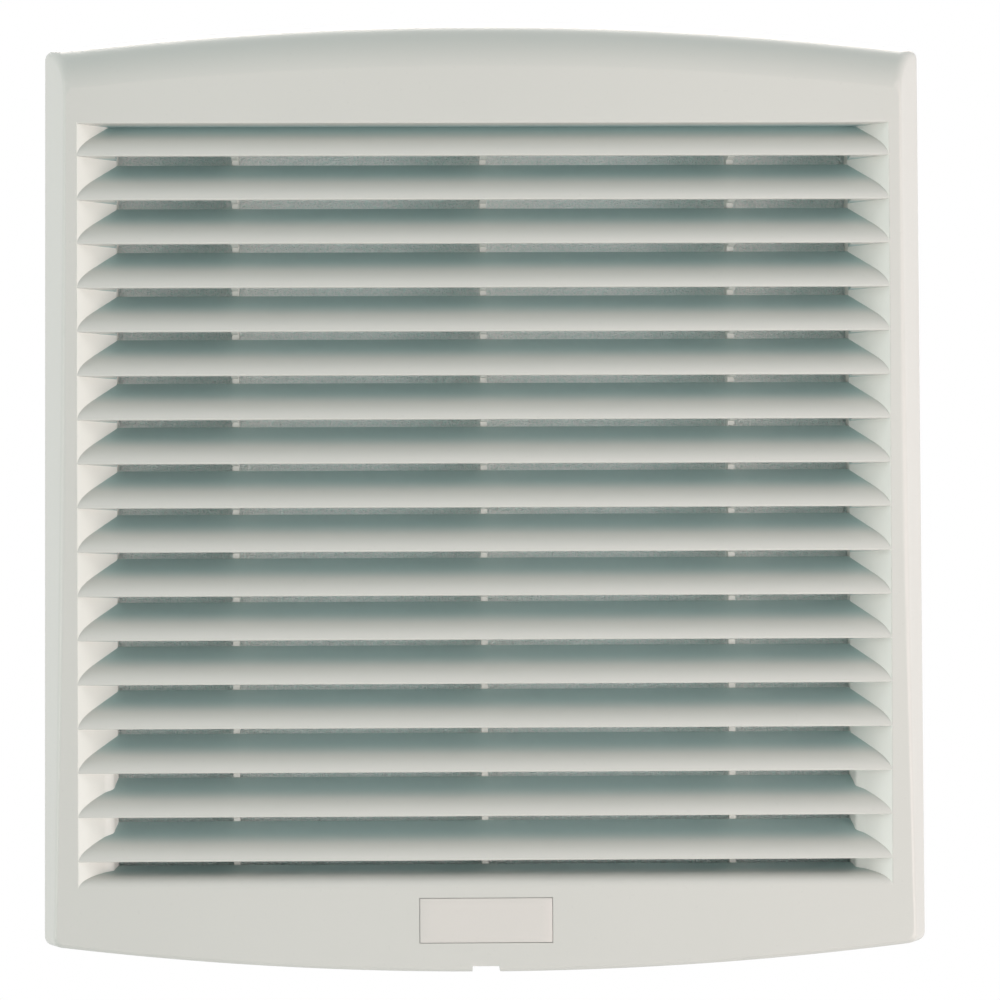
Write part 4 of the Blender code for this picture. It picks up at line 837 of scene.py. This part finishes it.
def make_fleece():
    """Fibres: two noises stretched in different directions, crossed, and a coarse one for thin places."""
    made, tree, shader, where = material("filter_fleece", Roughness=0.95, Specular_IOR_Level=0.2)
    strands = []
    for turn, stretch in (((0.0, 0.5, 0.0), (1.0, 1.0, 0.18)), ((0.0, -0.9, 0.0), (0.2, 1.0, 1.0))):
        laid = add(tree, "Mapping", Vector=where, Rotation=turn, Scale=stretch)
        strands.append(noise(tree, laid.outputs[0], 2600.0, 2.0, 0.6))
    fibres = maths(tree, "MAXIMUM", *strands)
    clumps = noise(tree, where, 1500.0, 2.0, 0.65)
    thin = noise(tree, where, 70.0, 2.0, 0.5)
    height = maths(tree, "ADD", maths(tree, "MULTIPLY", fibres, 0.45), maths(tree, "MULTIPLY", clumps, 0.75))
    shade = spread(tree, height, 0.51, 0.67)
    colour = blend_colours(tree, shade, FLEECE_DARK, FLEECE_LIGHT)
    colour = blend_colours(tree, spread(tree, thin, 0.35, 0.65, 0.18, 0.0), colour, FLEECE_DARK)
    connect(tree, shader.inputs["Base Color"], colour)
    bump(tree, shader, height, 0.9 * MM)
    return made


fleece = make_fleece()

# %% [markdown]
# ## The mat's form
#
# The mat is one grid of closed rings. They start as a point in the middle of the front, grow to the
# edge, turn over it in a quarter circle, and come back on the rear in the same way.

# %% Build the filter mat
MAT_HALF = 107.7
MAT_FRONT = 0.3
MAT_REAR = 17.3
MAT_EDGE = 3.0


def slow_waves(x, z):
    """Waves of a few hundredths to tenths of a millimetre, a sum of sines of different lengths."""
    return (0.5 + 0.18 * np.sin(x / 19.0 + 0.6) * np.sin(z / 23.0) + 0.14 * np.sin(x / 7.0 - z / 11.0)
            + 0.10 * np.sin(z / 5.3 + 1.0) * np.sin(x / 8.1))


def square_ring(half, corner, count=48):
    """A square with round corners: each side has count points, spaced evenly along the whole line."""
    side = np.linspace(-1.0, 1.0, count, endpoint=False)
    x = np.concatenate([side, np.ones(count), -side, -np.ones(count)])
    z = np.concatenate([-np.ones(count), side, np.ones(count), -side])
    reach = np.maximum(np.abs(x) + np.abs(z) - 1.0, 0.0)
    pull = 1 - reach ** 6 * corner / max(half, corner) * 0.3
    return half * x * pull, half * z * pull


def mat_grid():
    """Rings over the front, round the edge and over the rear, lifted a little by slow waves."""
    angle = np.linspace(0.0, np.pi / 2, 6)
    front = [(MAT_HALF - MAT_EDGE) * s for s in np.linspace(0.0, 1.0, 60)[:-1]]
    turn = [(MAT_HALF - MAT_EDGE * (1 - np.sin(a)), MAT_FRONT + MAT_EDGE * (1 - np.cos(a))) for a in angle]
    profile = [(half, MAT_FRONT) for half in front] + turn
    profile += [(half, MAT_REAR + MAT_FRONT - y) for half, y in profile[::-1]]
    rows = []
    for half, y in profile:
        x, z = square_ring(half, 4.0)
        middle = (MAT_FRONT + MAT_REAR) / 2
        inwards = slow_waves(x, z) * np.sign(middle - y) * min(1.0, (MAT_HALF - half) / MAT_EDGE)
        rows.append(np.stack([x, y + inwards, z], 1))
    return grid(rows, caps=False)


mat = piece("fleece_mat", [mat_grid()], fleece, "frame", ["filter_mat"], sharp=60.0)

# %% [markdown]
# ## Tongues of the cover
#
# The cover hangs in the frame on two hook tongues at its head and snaps in with two at its foot. They
# only show when the cover swings open, yet without them the open cover would look like a lid that
# nothing holds. Each is a flat bar with softened edges that grows out of the shell's inner side.

# %% Build the tongues
def soften(corners, radius, steps=5):
    """Each corner of a closed line becomes a curve that leaves one edge and meets the next one."""
    here = np.asarray(corners, float)
    radius = np.broadcast_to(radius, (len(here),))[:, None]

    def towards(other):
        away = other - here
        length = np.linalg.norm(away, axis=1, keepdims=True)
        return here + away * np.minimum(radius, 0.45 * length) / length

    first = towards(np.roll(here, 1, 0))
    last = towards(np.roll(here, -1, 0))
    t = np.linspace(0.0, 1.0, steps)[:, None, None]
    curve = (1 - t) ** 2 * first + 2 * t * (1 - t) * here + t * t * last
    return curve.transpose(1, 0, 2).reshape(-1, here.shape[1])


def soft_bar(low, high, radius=0.4):
    """A bar along Y whose four long edges are rounded, and whose ends draw in by most of the radius."""
    section = soften([(low[0], low[2]), (high[0], low[2]), (high[0], high[2]), (low[0], high[2])], radius)
    middle = section.mean(0)
    reach = np.abs(section - middle).max(0)
    rows = []
    for y, shrink in ((low[1], radius), (low[1] + radius, 0.0), (high[1] - radius, 0.0), (high[1], radius)):
        drawn_in = middle + (section - middle) * (1 - 0.7 * shrink / reach)
        rows.append(np.insert(drawn_in, 1, y, axis=1))
    return grid(rows)


TONGUE_HALF = 6.0
TONGUE_END = -0.6
TONGUE_THICKNESS = 1.6
HOOKS = (75.0, -19.3, 122.2)
LATCHES = (40.0, float(face_y(-125.6)) + WALL / 2, -126.4)


def tongue_grids():
    """Two hooks at the head and two latches at the foot, each pair given by its x, its root and its level."""
    places = [(side * x, root, low) for x, root, low in (HOOKS, LATCHES) for side in (-1, 1)]
    return [soft_bar((x - TONGUE_HALF, root, low), (x + TONGUE_HALF, TONGUE_END, low + TONGUE_THICKNESS))
            for x, root, low in places]


piece("cover_tongues", tongue_grids(), cover_plastic, "cover")

# %% [markdown]
# ## Metals and paints
#
# The fan is an industrial one: a die-cast ring under black paint, a black rotor, bright zinc on the wire
# and the screws. Black paint on a casting is never even, so its gloss changes with a slow noise and its
# surface has the skin of an orange. Zinc is a metal whose colour drifts a little between warm and cool.

# %% Metal and paint materials
def coated(name, colour, roughness, peel, depth):
    """Paint on metal: a slow tone, and the bumpy skin that spraying leaves."""
    made, tree, shader, where = material(name)
    skin = use(tree, GRAIN, Vector=where, Grain_Size=peel, Cloud_Size=35.0)
    marks = use(tree, MARKS, Vector=where, Length=25.0)
    tone = two_tones(tree, skin.outputs["Cloud"], colour, 0.25)
    dust = maths(tree, "MULTIPLY", marks.outputs["Specks"], 0.35)
    dusty = blend_colours(tree, dust, tone, (0.16, 0.155, 0.15, 1.0))
    connect(tree, shader.inputs["Base Color"], dusty)
    gloss = maths(tree, "ADD", roughness, maths(tree, "MULTIPLY", skin.outputs["Cloud"], 0.2))
    connect(tree, shader.inputs["Roughness"], gloss)
    bump(tree, shader, skin.outputs["Height"], depth * MM)
    return made


def plated(name, warm, cool, roughness):
    """Zinc or steel: the colour drifts from warm to cool, and scratches make thin rougher lines."""
    made, tree, shader, where = material(name, Metallic=1.0)
    skin = use(tree, GRAIN, Vector=where, Grain_Size=0.5, Cloud_Size=14.0)
    marks = use(tree, MARKS, Vector=where, Length=9.0)
    drift = spread(tree, skin.outputs["Cloud"], 0.35, 0.65)
    connect(tree, shader.inputs["Base Color"], blend_colours(tree, drift, warm, cool))
    rough = maths(tree, "ADD", roughness, maths(tree, "MULTIPLY", marks.outputs["Scratches"], 0.2))
    connect(tree, shader.inputs["Roughness"], maths(tree, "ADD", rough, maths(tree, "MULTIPLY", drift, 0.06)))
    bump(tree, shader, skin.outputs["Height"], 0.01 * MM)
    return made


def banded(name, first, second, pitch, depth, roughness, metallic, turn=(0.0, 0.0, 0.0)):
    """Fine parallel bands, for stacked sheets and for wound wire."""
    made, tree, shader, where = material(name, Metallic=metallic, Roughness=roughness)
    laid = add(tree, "Mapping", Vector=where, Rotation=turn).outputs[0]
    bands = add(tree, "TexWave", {"bands_direction": "Y"}, Vector=laid, Scale=1000.0 / pitch / 20.0 * math.pi,
                Distortion=0.3, Detail=1.0, Detail_Scale=3.0).outputs["Fac"]
    connect(tree, shader.inputs["Base Color"], blend_colours(tree, bands, first, second))
    bump(tree, shader, bands, depth * MM)
    return made


def foam(name):
    """Black foam rubber: cells of half a millimetre, with painted shade in their pits."""
    made, tree, shader, where = material(name, Roughness=0.9, Specular_IOR_Level=0.25)
    cells = add(tree, "TexVoronoi", Vector=where, Scale=1900.0).outputs["Distance"]
    pits = spread(tree, cells, 0.1, 0.6)
    tone = noise(tree, where, 60.0, 2.0)
    # Painted shade: the colour is darkest in the pits of the cells.
    colour = blend_colours(tree, pits, (0.012, 0.012, 0.013, 1.0), (0.045, 0.045, 0.046, 1.0))
    lighter = blend_colours(tree, spread(tree, tone, 0.35, 0.7, 0.0, 0.35), colour, (0.07, 0.07, 0.07, 1.0))
    connect(tree, shader.inputs["Base Color"], lighter)
    bump(tree, shader, pits, 0.25 * MM)
    return made


casting_paint = coated("casting_paint", (0.028, 0.028, 0.030), 0.38, 0.9, 0.06)
rotor_paint = coated("rotor_paint", (0.020, 0.020, 0.022), 0.28, 1.4, 0.03)
zinc = plated("zinc_plate", (0.52, 0.50, 0.45, 1.0), (0.44, 0.46, 0.49, 1.0), 0.34)
bright_wire = plated("guard_wire", (0.50, 0.49, 0.46, 1.0), (0.42, 0.44, 0.47, 1.0), 0.32)
core_sheets = banded("core_sheets", (0.20, 0.19, 0.18, 1.0), (0.42, 0.40, 0.38, 1.0), 0.5, 0.06, 0.42, 1.0)
wound_copper = banded("wound_copper", (0.36, 0.13, 0.05, 1.0), (0.80, 0.38, 0.19, 1.0), 0.45, 0.15, 0.32, 1.0,
                      (0.5, 0.0, 0.8))
gasket_foam = foam("gasket_foam")


def dress(finish_material, *nodes):
    """Gives CAD nodes whose shape is right a finish of their own."""
    for name in nodes:
        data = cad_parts[name].data
        data.materials.clear()
        data.materials.append(finish_material)
    print(finish_material.name, "on", ", ".join(nodes))


dress(frame_plastic, "base_frame", "mat_support_grid")
dress(gasket_foam, "panel_gasket")
dress(black_nylon, "pawl_left_upper", "pawl_left_lower", "pawl_right_upper", "pawl_right_lower",
      "terminal_block")
dress(core_sheets, "stator_core", "rotor_ring")
dress(wound_copper, "stator_winding")
dress(zinc, "bearing_front")

# %% [markdown]
# ## The fan's housing
#
# The housing is one casting. In every half plane through its axis the section is the same: a thin duct
# wall between two flanges, with a bell at the inlet. Only the flanges' outer edge changes with the
# angle, because the sides are cut flat. So the piece is a turned grid whose outermost points move with
# the angle. The struts and the motor plate are further shells that run into it.

# %% Build the housing
FAN_FRONT = 30.3
FAN_REAR = 81.3
DUCT_RADIUS = 70.0
DUCT_OUTER = 72.6
FAN_RADIUS = 86.0
FAN_HALF = 75.0
FAN_FLANGE = 4.0
BELL_FLARE = 2.2
BELL_LENGTH = 7.0
MOTOR_REAR = 79.3
MOTOR_FRONT = 76.3
MOTOR_RADIUS = 31.0
ROTOR_MIDDLE = 56.7
EDGE = 0.7
HUB_BORE = 3.3
BEARING_RADIUS = 8.0
TUBE_BORE = 8.3
TUBE_RADIUS = 10.1
TUBE_FRONT = 46.7
PLATE_SUNK = 0.35


def flange_reach(angle):
    """Distance to the flange's edge: the circle, or the flat side where that is nearer."""
    flat = FAN_HALF / np.maximum(np.abs(np.cos(angle)), 1e-6)
    return np.minimum(FAN_RADIUS, flat)


def housing_grid(segments=176):
    """Rows of (radius, y, share of the flange's reach) turned about Y, the reach read at each angle."""
    turn = np.linspace(0.0, np.pi / 2, 9)
    bell = [(DUCT_RADIUS + BELL_FLARE * (1 - np.sin(a)), FAN_FRONT + BELL_LENGTH * (1 - np.cos(a)), 0.0)
            for a in turn]
    fillet = 1.5
    rear = [(DUCT_RADIUS, FAN_REAR - EDGE, 0.0), (DUCT_RADIUS + 0.2, FAN_REAR - 0.2, 0.0),
            (DUCT_RADIUS + EDGE, FAN_REAR, 0.0), (-EDGE, FAN_REAR, 1.0), (-0.2, FAN_REAR - 0.2, 1.0),
            (0.0, FAN_REAR - EDGE, 1.0), (0.0, FAN_REAR - FAN_FLANGE + EDGE, 1.0),
            (-0.2, FAN_REAR - FAN_FLANGE + 0.2, 1.0), (-EDGE, FAN_REAR - FAN_FLANGE, 1.0),
            (DUCT_OUTER + fillet, FAN_REAR - FAN_FLANGE, 0.0),
            (DUCT_OUTER + 0.4, FAN_REAR - FAN_FLANGE - 0.4, 0.0),
            (DUCT_OUTER, FAN_REAR - FAN_FLANGE - fillet, 0.0)]
    front = [(r, FAN_FRONT + FAN_REAR - y, share) for r, y, share in rear[3:][::-1]]
    front += [(DUCT_RADIUS + BELL_FLARE + 0.3, FAN_FRONT, 0.0)]
    table = np.array(bell + rear + front)
    angle = np.arange(segments) * 2 * np.pi / segments
    reach = flange_reach(angle)[None, :]
    radius = np.where(table[:, 2:] > 0, reach + table[:, :1], np.minimum(table[:, :1], reach - 1.0))
    y = np.repeat(table[:, 1:2], segments, 1)
    return grid(np.stack([radius * np.cos(angle), y, radius * np.sin(angle)], -1), loop=True)


def strut_grid(index, width=6.0, steps=12):
    """A cast arm from the motor plate to the duct: it widens at both ends as a soft fillet."""
    angle = np.pi / 4 + index * np.pi / 2
    radius = np.linspace(MOTOR_RADIUS - 3.0, DUCT_RADIUS + 1.3, steps)
    ends = np.minimum(radius - radius[0], radius[-1] - radius)
    widen = 1 + 0.5 * np.exp(-ends / 3.0)
    section = soften([(-width / 2, MOTOR_REAR - 5.0), (width / 2, MOTOR_REAR - 5.0),
                      (width / 2, MOTOR_REAR - 0.4), (-width / 2, MOTOR_REAR - 0.4)], 0.9)
    across = section[None, :, 0] * widen[:, None]
    y = np.repeat(section[None, :, 1], steps, 0)
    along = radius[:, None]
    x = along * np.cos(angle) - across * np.sin(angle)
    z = along * np.sin(angle) + across * np.cos(angle)
    return grid(np.stack([x, y, z], -1))


def motor_plate_grid():
    """The plate behind the rotor and the bearing tube that stands on it, with a shallow round recess."""
    corners = [(TUBE_BORE, TUBE_FRONT), (TUBE_RADIUS, TUBE_FRONT), (TUBE_RADIUS, MOTOR_FRONT),
               (MOTOR_RADIUS, MOTOR_FRONT), (MOTOR_RADIUS, MOTOR_REAR), (27.0, MOTOR_REAR),
               (26.6, MOTOR_REAR - PLATE_SUNK), (13.4, MOTOR_REAR - PLATE_SUNK), (13.0, MOTOR_REAR),
               (TUBE_BORE, MOTOR_REAR)]
    return turned(soften(corners, [0.3, 0.3, 1.0, 0.7, 0.9, 0.2, 0.2, 0.2, 0.2, 0.4]), 128)


piece("fan_casting", [housing_grid(), motor_plate_grid()] + [strut_grid(i) for i in range(4)],
      casting_paint, "frame", ["fan_housing"], sharp=40.0)

# %% [markdown]
# ## Rotor, impeller and shaft
#
# This is an external-rotor motor: the cup turns round the stator and carries the blades on a sleeve.
# A blade is a sheet that is steep at its root and flatter at its tip, swept forwards and cambered. Its
# surface takes two parameters, along the chord and along the span, and a rounded section gives it both
# faces and edges in one grid. Spinning it, every blade must look alike, so one formula makes all five.

# %% Build the rotor
BLADES = 5
BLADE_ROOT = 32.55
BLADE_TIP = 68.5
CHORDS = (34.0, 52.0)
PITCHES = (math.radians(46), math.radians(27))
SWEEP = math.radians(16)
CAMBER = 0.09
SHEET = 1.2
ROTOR_FRONT = 38.3
CUP_RADIUS = 31.5
CUP_INNER = 29.7
CUP_FLOOR = 40.1
CUP_REAR = 73.3
HUB_RADIUS = 5.8
HUB_REAR = 43.3
SLEEVE_INNER = 31.8
SLEEVE_OUTER = 33.3
SLEEVE_FRONT = 43.2
SLEEVE_REAR = 70.2
SHAFT_RADIUS = 3.0
SHAFT_REAR = 78.8
RING_GROOVE = (77.2, 78.1, 2.4)
REAR_BEARING = (71.3, 77.3)
SHIELD_DEPTH = 0.35


def blade_grid(index, spans=26, chords=22):
    """Chord, pitch and sweep run evenly from root to tip; camber is a parabola along the chord."""
    u = (1 - np.cos(np.linspace(0.0, np.pi, chords))) / 2
    thick = SHEET / 2 * (1 - np.abs(2 * u - 1) ** 9) ** 0.5
    along = np.concatenate([u, u[::-1][1:-1]])
    half = np.concatenate([thick, -thick[::-1][1:-1]])
    v = np.linspace(0.0, 1.0, spans)[:, None]
    radius = BLADE_ROOT + v * (BLADE_TIP - BLADE_ROOT)
    chord = CHORDS[0] + v * (CHORDS[1] - CHORDS[0])
    chord = chord * (1 - 0.10 * np.clip((v - 0.88) / 0.12, 0.0, 1.0) ** 2)
    pitch = PITCHES[0] + v * (PITCHES[1] - PITCHES[0])
    place = (along - 0.5) * chord
    square = CAMBER * chord * (1 - (2 * along - 1) ** 2) + half
    tangent = place * np.cos(pitch) - square * np.sin(pitch)
    axial = place * np.sin(pitch) + square * np.cos(pitch)
    angle = 2 * np.pi * index / BLADES + SWEEP * v + tangent / radius
    radius = np.broadcast_to(radius, angle.shape)
    return grid(np.stack([radius * np.cos(angle), ROTOR_MIDDLE + axial, radius * np.sin(angle)], -1))


sleeve_corners = [(SLEEVE_INNER, SLEEVE_FRONT), (SLEEVE_OUTER, SLEEVE_FRONT), (SLEEVE_OUTER, SLEEVE_REAR),
                  (SLEEVE_INNER, SLEEVE_REAR)]
piece("fan_impeller", [turned(soften(sleeve_corners, 0.4), 128)] + [blade_grid(i) for i in range(BLADES)],
      rotor_paint, "rotor", ["impeller"], sharp=50.0)

cup_corners = [(HUB_BORE, ROTOR_FRONT), (CUP_RADIUS, ROTOR_FRONT), (CUP_RADIUS, CUP_REAR),
               (CUP_INNER, CUP_REAR), (CUP_INNER, CUP_FLOOR), (HUB_RADIUS, CUP_FLOOR),
               (HUB_RADIUS, HUB_REAR), (HUB_BORE, HUB_REAR)]
piece("motor_cup", [turned(soften(cup_corners, [0.3, 3.0, 0.5, 0.3, 1.5, 0.8, 0.3, 0.3], 8), 128)],
      rotor_paint, "rotor", ["rotor_cup"])

groove_front, groove_rear, groove_radius = RING_GROOVE
shaft_line = [(0.01, ROTOR_FRONT), (SHAFT_RADIUS, ROTOR_FRONT), (SHAFT_RADIUS, groove_front),
              (groove_radius, groove_front), (groove_radius, groove_rear), (SHAFT_RADIUS, groove_rear),
              (SHAFT_RADIUS, SHAFT_REAR), (0.9, SHAFT_REAR), (0.01, SHAFT_REAR - 0.9)]
piece("steel_shaft", [turned(soften(shaft_line, 0.12, 3), 64)], zinc, "rotor", ["motor_shaft"])


def bearing_line(front, rear):
    """A ball bearing's half section: two rings with a sunk shield between them on both faces."""
    face = [(HUB_BORE, 0.0), (4.7, 0.0), (4.8, SHIELD_DEPTH), (6.7, SHIELD_DEPTH), (6.8, 0.0),
            (BEARING_RADIUS, 0.0)]
    corners = [(radius, front + sunk) for radius, sunk in face]
    corners += [(radius, rear - sunk) for radius, sunk in face[::-1]]
    return soften(corners, 0.2, 4)


piece("rear_ball_bearing", [turned(bearing_line(*REAR_BEARING))], zinc, "frame", ["bearing_rear"])


def circlip_grid():
    """An open ring with its gap at the top; its width swells opposite the gap and at both ends."""
    angle = np.linspace(math.radians(125), math.radians(415), 48)[:, None]
    share = np.abs(np.linspace(-1.0, 1.0, 48))[:, None]
    width = 1.25 - 0.45 * share ** 2 + 0.9 * np.clip((share - 0.86) / 0.1, 0.0, 1.0)
    section = soften([(0.0, 77.35), (1.0, 77.35), (1.0, 77.95), (0.0, 77.95)], 0.1, 3)
    radius = 2.55 + section[None, :, 0] * np.minimum(width, 1.9)
    y = np.broadcast_to(section[None, :, 1], radius.shape)
    return grid(np.stack([radius * np.cos(angle), y, radius * np.sin(angle)], -1))


piece("shaft_ring", [circlip_grid()], zinc, "rotor", ["shaft_circlip"])

# %% [markdown]
# ## Wire guard
#
# The guard is welded from round wire: five rings lie in one plane, and four arms behind them step down
# to flat eyes under the screws. A ring is a circle turned about the fan's axis. An arm is a circle
# carried along a bent line, whose corners are softened first, because wire never bends at a point.

# %% Build the guard
WIRE = 0.9
GUARD_PLANE = 86.6
GUARD_RINGS = (68.0, 55.5, 43.0, 30.5, 18.0)
SCREW_CIRCLE = 81.0
SCREW_ANGLE = math.radians(62)
EYE_FRONT = 81.6
EYE_REAR = 83.2
EYE_BORE = 2.3
EYE_RADIUS = 5.0
SCREW_PLACES = [(SCREW_CIRCLE * math.cos(a), SCREW_CIRCLE * math.sin(a))
                for a in (SCREW_ANGLE, math.pi - SCREW_ANGLE, math.pi + SCREW_ANGLE, -SCREW_ANGLE)]


def bent_line(points, radius, steps=7):
    """An open line with soft corners: the curves of its inner corners between its two ends."""
    points = np.asarray(points, float)
    curves = soften(points, radius, steps).reshape(len(points), steps, -1)[1:-1]
    return np.concatenate([points[:1], curves.reshape(-1, points.shape[1]), points[-1:]])


def wire_ring(radius):
    turn = np.arange(14) * 2 * np.pi / 14
    return turned(np.stack([radius + WIRE * np.cos(turn), GUARD_PLANE + WIRE * np.sin(turn)], 1), 144)


def guard_arm(x, z):
    """Across the rings, down the step, and flat into the eye, in the half plane of the screw."""
    back = GUARD_PLANE + 1.5 * WIRE
    line = bent_line([(16.2, back), (69.8, back), (75.2, EYE_FRONT + 1.2), (78.0, EYE_FRONT + 0.9)], 2.5)
    away = np.array([x, z]) / SCREW_CIRCLE
    path = np.stack([line[:, 0] * away[0], line[:, 1], line[:, 0] * away[1]], 1)
    return tube(path, WIRE)


def guard_eye(x, z):
    corners = [(EYE_BORE, EYE_FRONT), (EYE_RADIUS, EYE_FRONT), (EYE_RADIUS, EYE_REAR), (EYE_BORE, EYE_REAR)]
    return turned(soften(corners, 0.35), 48, x, z)


arms = [guard_arm(x, z) for x, z in SCREW_PLACES]
eyes = [guard_eye(x, z) for x, z in SCREW_PLACES]
piece("wire_guard", [wire_ring(r) for r in GUARD_RINGS] + arms + eyes, bright_wire, "frame",
      ["rear_guard"])

# %% [markdown]
# ## Screws
#
# A screw is turned, except for its drive. Both can share one grid: the columns run outwards from the
# outline of the cross, or of the slot, to circles, so the recess gets sharp straight walls without any
# cutting. The outline has the same number of points as the circles.

# %% Build the screws
SCREW_HEAD = 2.6
TERMINAL_PLACES = [(80.0, -96.5), (89.0, -96.5), (98.0, -96.5)]
TERMINAL_TOP = 41.8


def cross_outline(wide, thin, per_edge=4):
    """The twelve edges of a cross, four points on each, starting at the right arm."""
    arm = np.array([(wide, -thin), (wide, thin), (thin, thin)])
    quarter = np.array([(0, 1), (-1, 0)])
    corners = np.concatenate([arm @ np.linalg.matrix_power(quarter, turn) for turn in range(4)])
    share = np.arange(per_edge)[:, None, None] / per_edge
    line = (1 - share) * corners + share * np.roll(corners, -1, 0)
    return line.transpose(1, 0, 2).reshape(-1, 2)


def slot_outline(wide, thin, count=48):
    """A long rectangle with the same number of points, spread evenly by angle."""
    angle = (np.arange(count) - 2) * 2 * np.pi / count
    x = wide * np.clip(1.6 * np.cos(angle), -1, 1)
    z = thin * np.clip(6.0 * np.sin(angle), -1, 1)
    return np.stack([x, z], 1)


def screw_grid(x, z, outline, profile, top, depth):
    """Rows: the turned profile up to the head's top, then the recess edge, its floor, and its middle."""
    angle = (np.arange(48) - 2) * 2 * np.pi / 48
    circle = np.stack([np.cos(angle), np.sin(angle)], 1)
    rows = [np.stack([r * circle[:, 0], np.full(48, y), r * circle[:, 1]], 1) for r, y in profile]
    for scale, y in ((1.0, top), (0.97, top - 0.1), (0.72, top - depth), (0.001, top - depth)):
        rows.append(np.stack([scale * outline[:, 0], np.full(48, y), scale * outline[:, 1]], 1))
    return grid(np.array(rows) + [x, 0.0, z], caps=False)


def pan_head(seat, length, radius=2.0, head_radius=3.8):
    """Profile of a pan-head screw from its tip: shank, flat seat, straight edge, and dome."""
    dome = [(head_radius - 1.15 * t ** 1.6, seat + SCREW_HEAD * (0.45 + 0.55 * np.sin(t * np.pi / 2)))
            for t in np.linspace(0.0, 1.0, 7)]
    tip = seat - length
    return [(0.001, tip), (radius * 0.5, tip), (radius, tip + 1.0), (radius, seat),
            (head_radius - 0.15, seat), (head_radius, seat + 0.15)] + dome


def screws(name, places, outline, profile, top, depth):
    """One piece with a screw at each place, in the room of the nodes NAME_1, NAME_2 and so on."""
    grids = [screw_grid(x, z, outline, profile, top, depth) for x, z in places]
    stands_for = [f"{name}_{number + 1}" for number in range(len(places))]
    piece(name + "s", grids, zinc, "frame", stands_for)


for name, seat, length in (("fan_screw", 34.6, 10.0), ("guard_screw", 83.5, 8.0)):
    screws(name, SCREW_PLACES, cross_outline(2.05, 0.5), pan_head(seat, length), seat + SCREW_HEAD, 1.5)

terminal_line = [(0.001, 38.6), (1.7, 38.6), (1.9, 38.8), (1.9, 41.55), (1.8, 41.72), (1.65, TERMINAL_TOP)]
screws("terminal_screw", TERMINAL_PLACES, slot_outline(1.5, 0.3), terminal_line, TERMINAL_TOP, 1.0)

# %% [markdown]
# ## The stage
#
# A pale floor lies below the fan and the world is white where it is seen. Cool light comes evenly from
# all sides, which is what reaches deep into the slots. Four warm softboxes stand in front, low and high
# on either side, nearest at the lower right: they make the faces and leave the slots cool. A fifth
# lights the back from above. Softboxes are better than a sun lamp here, because the photograph has no
# hard shadow anywhere. How strong each must be was found by rendering the scene once for each light
# alone, solving for the sum, and then mending the last few levels.

# %% Floor, world and lamps
FLOOR_LEVEL = -0.5
FLOOR_REACH = 0.75
FLOOR_COLOUR = (0.8, 0.82, 0.82, 1.0)
TENT = (0.36, 0.465, 0.465, 1.0)
FLOOR_SEEN = (0.45, 0.45, 0.45, 1.0)
FLOOR_GLOW = 0.62
WHITE = (1.0, 1.0, 1.0, 1.0)
LAMPS = {"right_low": (53, -18, 1.45, 16.2, (1.0, 0.84, 0.83)),
         "left_low": (-70, -5, 2.4, 22.0, (1.0, 0.91, 0.88)),
         "right_high": (53, 30, 1.5, 4.4, (1.0, 0.84, 0.80)),
         "left_high": (-70, 30, 2.4, 11.0, (1.0, 0.89, 0.87)),
         "back": (178, 30, 2.4, 26.0, (1.0, 0.88, 0.84))}


def soft_lamp(name, azimuth, elevation, distance, power, colour):
    """A square area lamp at two angles from straight in front, half as wide as it is far, looking inwards."""
    data = bpy.data.lights.new(name, "AREA")
    data.shape = "SQUARE"
    data.size = distance / 2
    data.energy = power
    data.color = colour
    lamp = bpy.data.objects.new(name, data)
    bpy.context.scene.collection.objects.link(lamp)
    a, e = math.radians(azimuth), math.radians(elevation)
    lamp.location = [distance * v for v in (math.sin(a) * math.cos(e), -math.cos(a) * math.cos(e), math.sin(e))]
    lamp.rotation_mode = "QUATERNION"
    lamp.rotation_quaternion = (-lamp.location).to_track_quat("-Z", "Y")


def seen_directly(tree):
    """One for rays from the camera, in reflections and through clear surfaces, and zero for lighting."""
    path = tree.nodes.new("ShaderNodeLightPath").outputs
    sharp = maths(tree, "MAXIMUM", path["Is Camera Ray"], path["Is Transmission Ray"])
    return maths(tree, "MAXIMUM", sharp, path["Is Glossy Ray"])


def make_world():
    """A light tent of one level, white where it is seen."""
    world = bpy.data.worlds.new("studio")
    bpy.context.scene.world = world
    world.use_nodes = True
    tree = world.node_tree
    colour = blend_colours(tree, seen_directly(tree), TENT, WHITE)
    connect(tree, tree.nodes["Background"].inputs["Color"], colour)


def make_floor():
    """A pale floor that shows white to the camera and still takes the object's shadow."""
    made, tree, shader, _ = material("floor", Roughness=0.9, Specular_IOR_Level=0.0, Emission_Color=WHITE)
    seen = seen_directly(tree)
    connect(tree, shader.inputs["Base Color"], blend_colours(tree, seen, FLOOR_COLOUR, FLOOR_SEEN))
    connect(tree, shader.inputs["Emission Strength"], maths(tree, "MULTIPLY", seen, FLOOR_GLOW))
    mesh = bpy.data.meshes.new("floor")
    corners = [(x * FLOOR_REACH, y * FLOOR_REACH, FLOOR_LEVEL) for x, y in ((-1, -1), (1, -1), (1, 1), (-1, 1))]
    mesh.from_pydata(corners, [], [(0, 1, 2, 3)])
    mesh.materials.append(made)
    thing = bpy.data.objects.new("floor", mesh)
    bpy.context.scene.collection.objects.link(thing)


make_world()
make_floor()
for name, settings in LAMPS.items():
    soft_lamp(name, *settings)
print("lamps:", ", ".join(LAMPS))
bpy.context.scene.view_settings.view_transform = "Standard"
